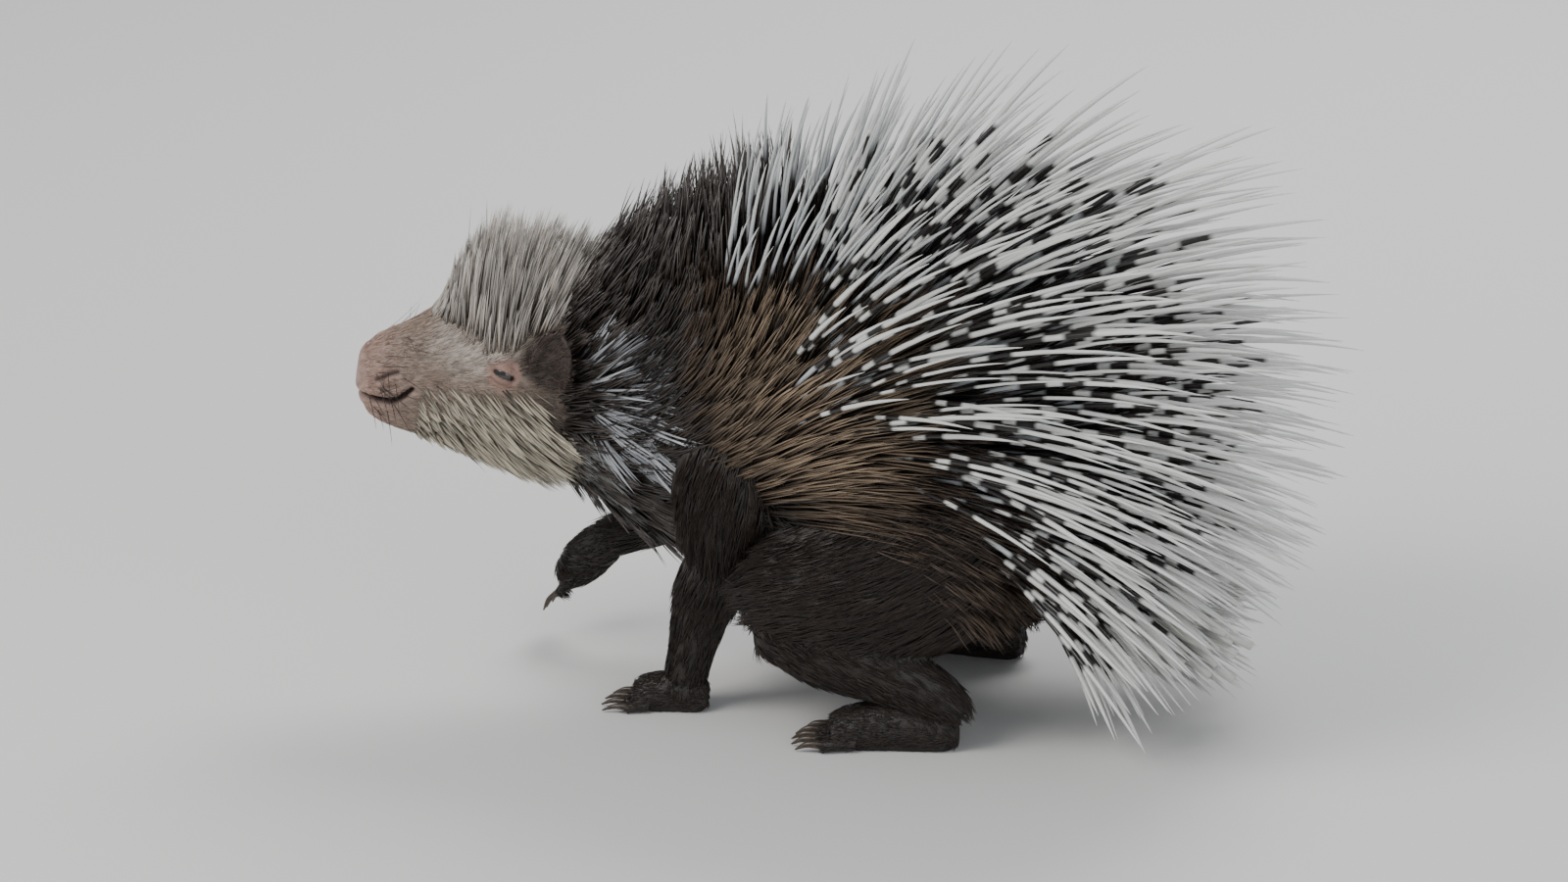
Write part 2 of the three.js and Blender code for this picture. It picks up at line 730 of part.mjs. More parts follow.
function trunkStrands({ node, from, to, low, high, count, seed, lock, scale = 1, stand = 0.3 }) {
  const draw = (spread) => {
    const share = spread(from, to);
    const angle = spread(low, high) * (spread(-1, 1) < 0 ? -1 : 1);
    const { lie, normal } = trunkLie(share, angle, spread, stand);
    const root = trunk.point(share, angle);
    const length = reading(lengthAlong, share) * scale * spread(0.8, 1);
    const bend = normal.clone().multiplyScalar(lock ? -0.16 : -0.05);
    bend.x += lock ? 0 : 0.14 * Math.max(lie.z, 0);
    bend.z -= lock ? 0.05 : 0.2 * Math.abs(lie.x);
    if (lock) return { root, lie, bend, normal, length, sink: 5, width: 7, thickness: 2.8, sides: 3 };
    const across = quillRadius * 2 * spread(0.85, 1.1);
    return { root, lie, bend, normal, length, sink: 8, width: across, thickness: across, sides: 3 };
  };
  grow({ node, count, draw, seed });
}

trunkStrands({ node: "back", from: 0.51, to: 0.69, low: 0, high: 1.3, count: 86, seed: 11 });
trunkStrands({ node: "chest", from: 0.36, to: 0.49, low: 0, high: 0.95, count: 35, seed: 12 });
trunkStrands({ node: "rump", from: 0.71, to: 0.93, low: 0, high: 1.42, count: 58, seed: 13 });

const bristles = { lock: true, stand: 0.24 };
const sideBristles = { ...bristles, low: 1, high: 1.85 };
trunkStrands({ ...sideBristles, node: "chest", from: 0.29, to: 0.48, count: 28, seed: 21, scale: 0.55 });
trunkStrands({ ...sideBristles, node: "back", from: 0.52, to: 0.68, low: 1.4, count: 18, seed: 22, scale: 0.38 });
trunkStrands({ ...bristles, node: "chest", from: 0.285, to: 0.36, low: 0, high: 0.9, count: 14, seed: 23 });
trunkStrands({ ...bristles, node: "neck", from: 0.1, to: 0.265, low: 0, high: 0.8, count: 14, seed: 24 });

// The white ruff fans out backwards from a whorl behind each ear.
const whorl = { share: 0.05, angle: 1.6 };
function ruff(side, seed) {
  const middle = trunk.point(whorl.share, whorl.angle * side);
  const draw = (spread) => {
    const [share, angle] = [spread(0.08, 0.19), spread(1.3, 1.95) * side];
    const root = trunk.point(share, angle);
    const normal = trunk.normal(share, angle);
    const lie = root.clone().sub(middle).add(new THREE.Vector3(10, 0, 4)).normalize();
    lie.addScaledVector(normal, 0.32 - lie.dot(normal)).normalize();
    const bend = normal.clone().multiplyScalar(-0.2);
    const length = spread(38, 54);
    return { root, lie, bend, normal, length, sink: 5, width: 6.6, thickness: 2.6, sides: 3 };
  };
  grow({ node: "neck", count: 12, draw, seed });
}
ruff(-1, 31);
ruff(1, 32);

// Behind the jaw the beard runs on over the throat, pointing back and down.
grow({
  node: "neck",
  count: 8,
  seed: 33,
  draw: (spread) => {
    const share = spread(0.02, 0.1);
    const angle = spread(1.95, 2.7) * (spread(-1, 1) < 0 ? -1 : 1);
    const root = trunk.point(share, angle);
    const normal = trunk.normal(share, angle);
    const lie = new THREE.Vector3(0.78, 0, -0.62);
    lie.addScaledVector(normal, 0.26 - lie.dot(normal)).normalize();
    const bend = normal.clone().multiplyScalar(-0.14);
    return { root, lie, bend, normal, length: spread(28, 38), sink: 5, width: 6.6, thickness: 2.6, sides: 3 };
  },
});

// Strands of the head: its crest, and the beard that hangs from cheeks and jaw.
function headStrands({ node, count, seed, place, width }) {
  const draw = (spread) => {
    const { distance, angle, way, length } = place(spread);
    const share = skullShare(distance);
    const turn = (v) => v.clone().transformDirection(headFrame);
    const root = skull.point(share, angle).applyMatrix4(headFrame);
    const normal = turn(skull.normal(share, angle));
    const bend = normal.clone().multiplyScalar(-0.16);
    const lie = turn(way);
    lie.addScaledVector(normal, Math.max(0, 0.26 - lie.dot(normal))).normalize();
    return { root, lie, bend, normal, length, sink: 4, width, thickness: 2.5, sides: 3 };
  };
  grow({ node, count, draw, seed });
}

// The crest runs from the brow over the crown and down to the level of the eyes.
const crestRise = [[58, 88], [90, 84], [146, 52]];
const crestLength = [[50, 16], [58, 38], [66, 66], [80, 78], [100, 74], [146, 68]];
const crestWidth = [[50, 0.2], [56, 0.35], [70, 0.65], [85, 0.96], [100, 1.15], [106, 0.8], [146, 0.8]];
headStrands({
  node: "head",
  count: 23,
  seed: 41,
  width: 7,
  place: (spread) => {
    const distance = spread(58, 146);
    const turn = spread(-1, 1);
    const angle = turn * reading(crestWidth, distance);
    const rise = degrees(reading(crestRise, distance) + spread(-7, 7));
    const way = new THREE.Vector3(Math.cos(rise), 0.14 * angle, Math.sin(rise));
    const length = reading(crestLength, distance) * (1 - 0.45 * turn * turn) * spread(0.85, 1.05);
    return { distance, angle, way, length };
  },
});

// The beard slopes back and down from the cheeks and the jaw.
const beardFall = [[40, 56], [140, 34]];
const beardLength = [[40, 15], [90, 34], [140, 38]];
for (const [node, from, to, count, seed] of [["head", 96, 140, 15, 42], ["jaw", 42, 90, 11, 43]]) {
  headStrands({
    node,
    count,
    seed,
    width: 6,
    place: (spread) => {
      const distance = spread(from, to);
      const angle = spread(1.8, 2 * Math.PI - 1.8);
      const fall = degrees(reading(beardFall, distance) + spread(-8, 8));
      const way = new THREE.Vector3(Math.cos(fall), 0.2 * Math.sin(angle), -Math.sin(fall));
      return { distance, angle, way, length: reading(beardLength, distance) * spread(0.8, 1.05) };
    },
  });
}

// The white quills of the tail stand out all round it and trail behind.
grow({
  node: "tail",
  count: 32,
  seed: 51,
  draw: (spread) => {
    const share = spread(0.3, 0.97);
    const angle = spread(-Math.PI, Math.PI);
    const root = tail.point(share, angle);
    const normal = tail.normal(share, angle);
    const lie = tail.line.getTangent(share).addScaledVector(normal, spread(0.25, 0.55)).normalize();
    const bend = new THREE.Vector3(0, 0, -0.08);
    return { root, lie, bend, normal, length: spread(58, 84), sink: 5, width: 4.4, thickness: 4.4, sides: 3 };
  },
});

// Joins a node's strands to it and cuts them clear of every other node.
function clothe(name, solid, keepOut) {
  const mine = strands.filter((piece) => piece.node === name);
  if (mine.length === 0) return solid;
  const rooms = [...keepOut].filter(([other]) => other !== name).map(([, room]) => room);
  const coat = Manifold.union(mine.map(strandSolid)).subtract(Manifold.union(rooms));
  return largest(solid.add(coat));
}

const colours = {
  head: [0x8a7768, 0.85],
  jaw: [0x8a7468, 0.85],
  ear: [0x3b2b24, 0.8],
  eye: [0x0d0a09, 0.15],
  coat: [0x1d1613, 0.8],
  quills: [0xcfd2cc, 0.45],
  feet: [0x2a211d, 0.8],
};

function colourOf(name) {
  if (name === "head" || name === "jaw") return colours[name];
  if (name.endsWith("_ear")) return colours.ear;
  if (name.endsWith("_eye")) return colours.eye;
  if (name.endsWith("foot")) return colours.feet;
  if (["back", "rump", "tail", "neck"].includes(name)) return colours.quills;
  return colours.coat;
}

const { flesh, keepOut } = buildFlesh();
const porcupine = new THREE.Group();
for (const [name, bare] of flesh) {
  const solid = clothe(name, bare, keepOut);
  const [color, roughness] = colourOf(name);
  const material = new THREE.MeshStandardMaterial({ color, roughness, metalness: 0 });
  const mesh = new THREE.Mesh(geometryFrom(solid), material);
  mesh.name = name;
  porcupine.add(mesh);
}

// The model's box is centred over the origin, with its lowest point on the floor.
const box = new THREE.Box3().setFromObject(porcupine);
const middle = box.getCenter(new THREE.Vector3());
const shift = new THREE.Vector3(-middle.x, -middle.y, -box.min.z);
porcupine.children.forEach((mesh) => mesh.geometry.translate(...shift));

export default porcupine;
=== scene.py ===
import math

import bpy
import numpy as np
from mathutils import Matrix, Vector
from mathutils.kdtree import KDTree


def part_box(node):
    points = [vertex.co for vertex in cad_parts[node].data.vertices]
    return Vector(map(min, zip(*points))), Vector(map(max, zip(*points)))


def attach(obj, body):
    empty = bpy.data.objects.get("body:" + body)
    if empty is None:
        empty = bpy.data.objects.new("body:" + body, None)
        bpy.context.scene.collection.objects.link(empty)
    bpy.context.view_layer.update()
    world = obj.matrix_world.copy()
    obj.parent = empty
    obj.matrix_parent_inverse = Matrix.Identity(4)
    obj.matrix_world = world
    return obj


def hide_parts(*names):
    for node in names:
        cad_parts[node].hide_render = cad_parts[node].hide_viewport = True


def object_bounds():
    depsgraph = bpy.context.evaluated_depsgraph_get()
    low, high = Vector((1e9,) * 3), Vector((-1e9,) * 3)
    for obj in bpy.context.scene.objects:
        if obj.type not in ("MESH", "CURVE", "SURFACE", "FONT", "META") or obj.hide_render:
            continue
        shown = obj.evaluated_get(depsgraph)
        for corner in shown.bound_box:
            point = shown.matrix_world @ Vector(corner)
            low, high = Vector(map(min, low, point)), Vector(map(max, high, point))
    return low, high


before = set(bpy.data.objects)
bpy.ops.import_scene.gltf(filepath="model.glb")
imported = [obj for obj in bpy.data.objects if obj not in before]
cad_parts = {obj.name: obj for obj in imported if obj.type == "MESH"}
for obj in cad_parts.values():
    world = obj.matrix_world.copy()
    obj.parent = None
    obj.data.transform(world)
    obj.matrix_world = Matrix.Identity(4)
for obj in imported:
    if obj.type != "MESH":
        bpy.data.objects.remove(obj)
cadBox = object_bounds()
bpy.ops.object.select_all(action="DESELECT")

# Everything is laid out in millimetres in the animal's own layout, then moved onto the CAD frame.
# The nose points to -X, the left side to -Y.


def unit(v):
    v = np.asarray(v, float)
    return v / np.maximum(np.linalg.norm(v, axis=-1, keepdims=True), 1e-9)


class smoothLine:
    def __init__(self, points):
        self.points = np.array(points, float)

    def at(self, share):
        share = np.atleast_1d(np.clip(share, 0, 1)).astype(float)
        pts, count = self.points, len(self.points)
        place = share * (count - 1)
        step = np.minimum(place.astype(int), count - 2)
        weight = (place - step)[:, None]
        before = np.vstack([2 * pts[0] - pts[1], pts])
        after = np.vstack([pts, 2 * pts[-1] - pts[-2]])
        p0, p1, p2, p3 = before[step], pts[step], pts[step + 1], after[step + 2]
        gaps = ((p0, p1), (p1, p2), (p2, p3))
        d0, d1, d2 = (np.linalg.norm(b - a, axis=1)[:, None] ** 0.5 for a, b in gaps)
        d1 = np.where(d1 < 1e-4, 1, d1)
        d0, d2 = np.where(d0 < 1e-4, d1, d0), np.where(d2 < 1e-4, d1, d2)
        t1 = ((p1 - p0) / d0 - (p2 - p0) / (d0 + d1) + (p2 - p1) / d1) * d1
        t2 = ((p2 - p1) / d1 - (p3 - p1) / (d1 + d2) + (p3 - p2) / d2) * d1
        c2, c3 = -3 * p1 + 3 * p2 - 2 * t1 - t2, 2 * p1 - 2 * p2 + t1 + t2
        return p1 + t1 * weight + c2 * weight**2 + c3 * weight**3

    def tangent(self, share):
        share = np.atleast_1d(share).astype(float)
        return unit(self.at(share + 1e-4) - self.at(share - 1e-4))


# A rounded form: stations of (x, y, z, over, under, half width) along its line. One number stands
# for over and under where they are the same.
class roundForm:
    thinnest = 0.5

    def __init__(self, stations, side=(0, 1, 0), fullness=2.0):
        stations = np.array([(*s[:4], *s[-2:]) for s in stations], float)
        self.line = smoothLine(stations[:, :3])
        self.sizes = smoothLine(stations[:, 3:])
        self.sideAxis = np.array(side, float)
        self.power = 2 / fullness

    def section(self, share):
        along = self.line.tangent(share)
        over = unit(np.cross(along, self.sideAxis))
        side = unit(np.cross(over, along))
        return self.line.at(share), along, over, side, self.sizes.at(share)

    def point(self, share, angle):
        centre, along, over, side, sizes = self.section(share)
        cosA, sinA = (np.sign(v) * np.abs(v) ** self.power for v in (np.cos(angle), np.sin(angle)))
        sizes = np.maximum(sizes, self.thinnest)
        rise = np.where(cosA > 0, sizes[:, 0], sizes[:, 1])
        return centre + over * (cosA * rise)[:, None] + side * (sinA * sizes[:, 2])[:, None]

    def normal(self, share, angle, step=0.004, turn=0.02):
        share, angle = (np.atleast_1d(v).astype(float) for v in (share, angle))
        ahead, behind = np.minimum(share + step, 1), np.maximum(share - step, 0)
        alongSkin = self.point(ahead, angle) - self.point(behind, angle)
        roundSkin = self.point(share, angle + turn) - self.point(share, angle - turn)
        n = unit(np.cross(roundSkin, alongSkin))
        out = self.point(share, angle) - self.line.at(share)
        return n * np.sign(np.sum(n * out, axis=1, keepdims=True))

    # For points in space: the nearest share of the line, the angle around it, and how far out they
    # lie against its size. The reach is what counts as one size along the line, in millimetres.
    def nearest(self, points, stations=90, reach=8.0):
        shares = np.linspace(0, 1, stations)
        centre, along, over, side, sizes = self.section(shares)
        gaps = points[:, None, :] - centre[None]
        up, across, ahead = (np.sum(gaps * axis, axis=2) for axis in (over, side, along))
        rise = np.where(up > 0, sizes[:, 0], sizes[:, 1])
        out = np.sqrt((up / rise) ** 2 + (across / sizes[:, 2]) ** 2 + (ahead / reach) ** 2)
        best = np.argmin(out, axis=1)
        rows = np.arange(len(points))
        return shares[best], np.arctan2(across[rows, best], up[rows, best]), out[rows, best]


def reading(pairs, at):
    xs, ys = zip(*pairs)
    return np.interp(at, xs, ys)


# The sizes of the body and the head
body = {
    "trunk": [
        (-216, -19, 200, 40, 64, 36), (-182, -10, 205, 60, 92, 52), (-146, -3, 207, 71, 107, 65),
        (-106, 0, 203, 82, 112, 78), (-60, 0, 193, 96, 112, 89), (-12, 0, 178, 113, 112, 98),
        (28, 0, 160, 119, 100, 100), (62, 0, 136, 98, 82, 95), (88, 0, 110, 68, 62, 78),
        (106, 0, 91, 37, 40, 50), (117, 0, 80, 11, 13, 16),
    ],
    "thigh": [
        (92, -62, 150, 26, 30), (72, -74, 136, 36, 50), (40, -82, 118, 37, 58),
        (4, -86, 102, 33, 52), (-38, -90, 90, 26, 41), (-66, -92, 82, 13, 24),
    ],
    "shank": [
        (-54, -92, 76, 17, 22), (-18, -92, 62, 20, 26), (28, -90, 46, 18, 21),
        (56, -88, 30, 14, 16), (66, -87, 20, 11, 12),
    ],
    "upperArm": [
        (-72, -56, 196, 22, 34), (-80, -66, 168, 27, 38), (-86, -70, 138, 25, 32),
        (-88, -70, 112, 20, 24), (-90, -68, 98, 12, 15),
    ],
    "forearm": [
        (-88, -68, 112, 19, 21), (-96, -66, 90, 19, 21), (-106, -62, 62, 16, 17),
        (-113, -59, 36, 13, 14), (-117, -58, 18, 12, 13),
    ],
    "raisedArm": [
        (-70, 56, 190, 22, 32), (-84, 66, 164, 26, 36), (-98, 69, 136, 24, 31),
        (-108, 68, 112, 18, 23), (-112, 66, 100, 11, 14),
    ],
    "raisedForearm": [
        (-104, 68, 112, 18, 20), (-128, 64, 98, 19, 19), (-160, 58, 85, 16, 16),
        (-188, 52, 74, 13, 13), (-203, 49, 68, 12, 12),
    ],
    "tail": [
        (96, 0, 92, 26, 30), (114, 0, 88, 25, 28), (136, 0, 83, 20, 22), (158, 0, 78, 15, 16),
        (172, 0, 75, 8, 9),
    ],
}
headSizes = {
    "noseTip": (-331, -50, 197),
    "turn": math.radians(15),
    "skull": [
        (-0.5, 0, 7.5, 7, 4.5, 6.5), (1.5, 0, 7.2, 14.5, 10, 15), (6, 0, 5.9, 21.5, 17, 22),
        (14, 0, 3.8, 28, 27, 26), (27, 0, 1.4, 35, 32, 28.5), (42, 0, 0, 43, 36, 29.5),
        (58, 0, 0, 48.5, 41, 32), (75, 0, 0, 53, 47, 35.5), (93, 0, 0, 57, 53, 39),
        (115, 0, 0, 56, 55, 42), (137, 0, 0, 50, 51, 42), (155, 0, 0, 36, 38, 34),
        (168, 0, 0, 14, 14),
    ],
    "eye": (93, 13),  # distance behind the nose tip, height
    "eyeRadius": 8.0,
    "eyeDepth": 5.6,
    "brow": [(-11, 1, 8), (0, 2.2, 9.5), (12, 1, 7)],
    "ear": (120, 14),
}

trunk = roundForm(body["trunk"], fullness=2.15)
skull = roundForm(headSizes["skull"], fullness=2.25)
tail = roundForm(body["tail"])
sideways = {
    "thigh": (0.35, 0, 1),
    "shank": (0.4, 0, 1),
    "upperArm": (1, 0, 0),
    "forearm": (1, 0, 0),
    "raisedArm": (1, 0, 0),
    "raisedForearm": (0, 1, 0),
}
limbs = {name: roundForm(body[name], side) for name, side in sideways.items()}

turnMatrix = np.array(Matrix.Rotation(headSizes["turn"], 3, "Z"))


def fromHead(points):
    return np.asarray(points) @ turnMatrix.T + np.array(headSizes["noseTip"])


def toHead(points):
    return (np.asarray(points) - np.array(headSizes["noseTip"])) @ turnMatrix


def mirrored(points):
    return np.asarray(points) * np.array([1, -1, 1])


fineSteps = 2000  # for looking up places on the skull


# The share along the skull at a distance behind the nose tip.
def skullShare(distance):
    shares = np.linspace(0, 1, fineSteps)
    return np.interp(distance, skull.line.at(shares)[:, 0], shares)


def onFace(distance, height, side):
    share = float(skullShare(distance))
    angles = np.linspace(0, math.pi, fineSteps)
    heights = skull.point(np.full(fineSteps, share), angles)[:, 2]
    angle = float(np.interp(-height, -heights, angles)) * side
    return skull.point(np.array([share]), np.array([angle]))[0]


def eyeCentre(side):
    return onFace(*headSizes["eye"], side) + np.array([0, -side * headSizes["eyeDepth"], 0])


low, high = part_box("left_eye")
shift = (np.array(low) + np.array(high)) * 500 - fromHead(eyeCentre(-1))
print("shift of the layout onto the frame, mm:", shift.round(2))


def metres(points):
    return (np.asarray(points) + shift) / 1000


def active(obj):
    bpy.ops.object.select_all(action="DESELECT")
    obj.select_set(True)
    bpy.context.view_layer.objects.active = obj
    return obj


def readVertices(obj, key="co"):
    values = np.empty(len(obj.data.vertices) * 3)
    obj.data.vertices.foreach_get(key, values)
    return values.reshape(-1, 3)


def placeOf(obj):
    return readVertices(obj) * 1000 - shift


def setPlace(obj, points):
    obj.data.vertices.foreach_set("co", metres(points).ravel())
    obj.data.update()


def modify(obj, kind, **settings):
    active(obj)
    modifier = obj.modifiers.new(kind.lower(), kind)
    for key, value in settings.items():
        setattr(modifier, key, value)
    bpy.ops.object.modifier_apply(modifier=modifier.name)


def pointOutwards(obj):
    active(obj)
    bpy.ops.object.mode_set(mode="EDIT")
    bpy.ops.mesh.select_all(action="SELECT")
    bpy.ops.mesh.normals_make_consistent(inside=False)
    bpy.ops.object.mode_set(mode="OBJECT")


# Shapes a ball of the right mesh into a rounded form.
def modelForm(name, form, rows, columns, change=None):
    bpy.ops.mesh.primitive_uv_sphere_add(segments=columns, ring_count=rows, radius=1)
    obj = bpy.context.object
    obj.name = name
    co = readVertices(obj)
    polar = np.arccos(np.clip(co[:, 2], -1, 1)) / math.pi
    edge = 1.0 / rows
    share = np.clip((polar - edge) / (1 - 2 * edge), 0, 1)
    points = form.point(share, np.arctan2(co[:, 1], co[:, 0]))
    poles = np.abs(co[:, 2]) > 0.99999
    points[poles] = form.line.at(share)[poles]
    setPlace(obj, change(points) if change else points)
    pointOutwards(obj)
    return obj


def modelBall(name, centre, radius, segments):
    bpy.ops.mesh.primitive_uv_sphere_add(
        segments=segments, ring_count=segments // 2, radius=radius / 1000, location=metres(centre)
    )
    bpy.ops.object.transform_apply(location=True, rotation=True, scale=True)
    obj = bpy.context.object
    obj.name = name
    return obj


def modelBar(name, points, radii, cells, change):
    stations = [(*p, r, r) for p, r in zip(points, radii)]
    return modelForm(name, roundForm(stations), cells, cells, change)


def joinAll(name, parts):
    bpy.ops.object.select_all(action="DESELECT")
    for part in parts:
        part.select_set(True)
    bpy.context.view_layer.objects.active = parts[0]
    bpy.ops.object.join()
    obj = bpy.context.object
    obj.name = name
    return obj


def fuse(obj, size, rounds):
    active(obj)
    obj.data.remesh_voxel_size = size / 1000
    obj.data.remesh_voxel_adaptivity = 0
    bpy.ops.object.voxel_remesh()
    modify(obj, "SMOOTH", factor=0.5, iterations=rounds)


# Feet: soles on the floor, toes and claws as in the solids. The sole's stations are shares of its
# length, of its height for the middle and for half the depth, and of its half width.
feet = {
    "hind": {"length": 104, "half": 17, "height": 30, "toes": 5, "toe": 22, "claw": 15, "spread": 1.12},
    "fore": {"length": 58, "half": 14, "height": 25, "toes": 4, "toe": 14, "claw": 15, "spread": 1.15},
    "heel": 2,
    "sole": [(0, 0.42, 0.34, 0.45), (0.08, 0.42, 0.55, 0.7), (0.35, 0.4, 0.58, 0.78),
             (0.62, 0.34, 0.48, 1), (0.72, 0.28, 0.34, 0.9)],
    "places": {
        "leftHind": ("hind", (64, -87, 0), 7, 0, False),
        "rightHind": ("hind", (64, -87, 0), 7, 0, True),
        "leftFore": ("fore", (-104, -59, 0), 4, 0, False),
        "rightFore": ("fore", (-190, 51, 62), -4, -42, False),
    },
}


def footPlacer(at, turn, dip, flip):
    turned = Matrix.Rotation(math.radians(turn), 3, "Z") @ Matrix.Rotation(math.radians(dip), 3, "Y")
    matrix = np.array(turned)

    def place(points):
        points = np.asarray(points) @ matrix.T + np.array(at)
        return mirrored(points) if flip else points

    return place


def modelFoot(kind, place, onFloor):
    s = feet[kind]
    length, half, height = s["length"], s["half"], s["height"]

    def settle(points):
        if onFloor:
            points = points.copy()
            points[:, 2] = np.maximum(points[:, 2], 0.0)
        return place(points)

    sole = [
        (-length * back or feet["heel"], 0, height * middle, height * deep, half * wide)
        for back, middle, deep, wide in feet["sole"]
    ]
    parts = [modelForm("sole", roundForm(sole), 28, 32, settle)]
    claws = []
    thick = half * 0.27
    for toe in range(s["toes"]):
        across = toe / (s["toes"] - 1) * 2 - 1
        reach = s["toe"] * (1 - 0.22 * across**2)
        start = (-length * 0.58, across * half * 0.78)
        end = (-length * 0.62 - reach, across * half * s["spread"])
        knuckle = ((start[0] + end[0]) / 2, (start[1] + end[1]) / 2, thick * 1.25)
        route = [(*start, thick * 1.1), knuckle, (*end, thick * 0.8)]
        parts.append(modelBar("toe", route, [thick, thick * 0.95, thick * 0.85], 14, settle))
        hook = [
            (end[0] + thick * 0.6, end[1], thick * 1.1),
            (end[0] - s["claw"] * 0.5, end[1], thick * 1.15),
            (end[0] - s["claw"], end[1], thick * 0.35),
        ]
        claws.append(modelBar("claw", hook, [thick * 0.62, thick * 0.45, 0.5], 12, settle))
    return parts, claws


earSizes = {
    "height": 43, "sunk": 10, "halfWidth": 13, "wall": 2.4, "cells": 26, "outward": 9, "cup": 7.5,
    "fold": 1.1, "lean": (0.2, 0.26, 0.94), "back": (0.3, -0.94, -0.1),
}


def modelEar(side):
    s, sided = earSizes, np.array([1, side, 1])
    root = onFace(*headSizes["ear"], side)
    lean = unit(sided * s["lean"])
    back = sided * s["back"]
    back = unit(back - lean * back.dot(lean))
    width = np.cross(back, lean)
    bpy.ops.mesh.primitive_grid_add(x_subdivisions=s["cells"], y_subdivisions=s["cells"], size=2)
    obj = bpy.context.object
    co = readVertices(obj)
    t, q = (co[:, 1] + 1) / 2, co[:, 0]
    outline = np.sqrt(np.maximum(0.02, 1 - np.abs(t * 1.55 - 0.57) ** 2.4))
    span = s["halfWidth"] * outline + 0.4
    outward = np.array([0, side * s["outward"], 0]) * np.minimum(1, 2.4 * t)[:, None]
    cup = s["cup"] * (q * q - 1) * (1 - 0.45 * t)
    fold = s["fold"] * np.exp(-(((q - 0.25) / 0.16) ** 2)) * (1 - t)
    points = root + outward + lean * (s["height"] * t - s["sunk"])[:, None]
    points = points + width * (q * span)[:, None] - back * (cup + fold)[:, None]
    setPlace(obj, fromHead(points))
    modify(obj, "SOLIDIFY", thickness=s["wall"] / 1000, offset=0)
    return obj


def distanceTo(line, points):
    line = np.asarray(line, float)
    best = np.full(len(points), 1e9)
    for a, b in zip(line[:-1], line[1:]):
        share = np.clip(np.sum((points - a) * (b - a), axis=1) / np.sum((b - a) ** 2), 0, 1)
        best = np.minimum(best, np.linalg.norm(points - a - share[:, None] * (b - a), axis=1))
    return best


def hump(distance, width):
    return np.exp(-((distance / width) ** 2))


# Grooves of the face, seen from the side: the line, how deep and wide it is pressed in, the rim
# beside it (height, distance, width), how dark its painted shade is, and whether it crosses the middle.
faceLines = {
    "mouth": {
        "line": [(-4, -5), (7, -5.8), (14, -7.4), (21, -7.8), (28, -4.5), (35, 1.2)], "depth": 6.5,
        "width": [(2, 1.3), (12, 2.0), (22, 2.0), (36, 0.9)], "rim": (1.0, 5.0, 2.6), "dark": 1.25,
        "crosses": True,
    },
    "nostril": {
        "line": [(12, 6), (16, 8), (21, 10.5), (26, 12)], "depth": 3.2, "width": [(0, 1.2)],
        "rim": (0.6, 3.4, 1.8), "dark": 0.7, "crosses": False,
    },
    "lipFold": {
        "line": [(20, 2), (28, 3.5), (36, 8)], "depth": 0.8, "width": [(0, 1.2)], "rim": (0, 0, 1),
        "dark": 0.2, "crosses": False,
    },
    "cheekFold": {
        "line": [(50, 4), (64, 13), (80, 20)], "depth": 1.1, "width": [(0, 2.0)], "rim": (0, 0, 1),
        "dark": 0, "crosses": True,
    },
}
cleftSizes = {"back": 12, "top": 16, "bottom": -11, "depth": 1.6, "width": 1.6}
# The slits of the eyes; their dark is painted shade inside each slit.
slitSizes = {
    "half": 8.6, "tilt": math.radians(-24), "bow": 1.0, "open": 1.35, "edge": 0.9, "depth": 5.5,
    "creases": [(1.3, 9.5, 1.2), (0.8, 13, 1.3)], "dark": 0.85,
}


# Presses the mouth, the nostrils, the folds and the eye slits into the skin, and paints shade into
# them.
def shapeFace(obj):
    points = placeOf(obj)
    head = toHead(points)
    normals = readVertices(obj, "normal")
    near = (head[:, 0] < 126) & (np.abs(head[:, 1]) < 60)
    beside = np.abs(head[:, 1]) > 6
    push, dark = np.zeros(len(points)), np.zeros(len(points))
    for s in faceLines.values():
        gap = distanceTo(s["line"], head[:, [0, 2]])
        groove = hump(gap, reading(s["width"], head[:, 0]))
        rim, rimGap, rimWidth = s["rim"]
        here = beside | s["crosses"]
        push += here * (s["depth"] * groove - rim * hump(gap - rimGap, rimWidth))
        dark += here * s["dark"] * groove
    dark = np.clip(dark, 0, 1) * near
    s = cleftSizes
    cleft = (head[:, 0] < s["back"]) & (head[:, 2] < s["top"]) & (head[:, 2] > s["bottom"])
    push += cleft * s["depth"] * hump(head[:, 1], s["width"])
    points = points - normals * (push * near)[:, None]
    s = slitSizes
    cosT, sinT = math.cos(s["tilt"]), math.sin(s["tilt"])
    for sign in (-1, 1):
        centre = eyeCentre(sign)
        gap = toHead(points) - centre
        onSide = (gap[:, 1] * sign > 0) & (np.abs(gap[:, 0]) < 30)
        u = gap[:, 0] * cosT + gap[:, 2] * sinT
        arch = 1 - (u / s["half"]) ** 2
        v = gap[:, 2] * cosT - gap[:, 0] * sinT - s["bow"] * arch
        openHere = s["open"] * np.sqrt(np.clip(arch, 0, 1))
        hole = np.clip(1 - (np.abs(v) - openHere) / s["edge"], 0, 1) * (np.abs(u) < s["half"])
        ring = np.sqrt((u / 1.35) ** 2 + (v / 0.8) ** 2)
        crease = sum(depth * hump(ring - radius, width) for depth, radius, width in s["creases"])
        move = (hole * s["depth"] + crease) * onSide
        points = points + unit(fromHead(centre) - points) * move[:, None]
        dark = np.maximum(dark, s["dark"] * hole * onSide)
    setPlace(obj, points)
    # The crease layer holds the painted shade of the grooves and the eye slits.
    layer = obj.data.attributes.new("crease", "FLOAT", "POINT")
    layer.data.foreach_set("value", dark.astype(np.float32))


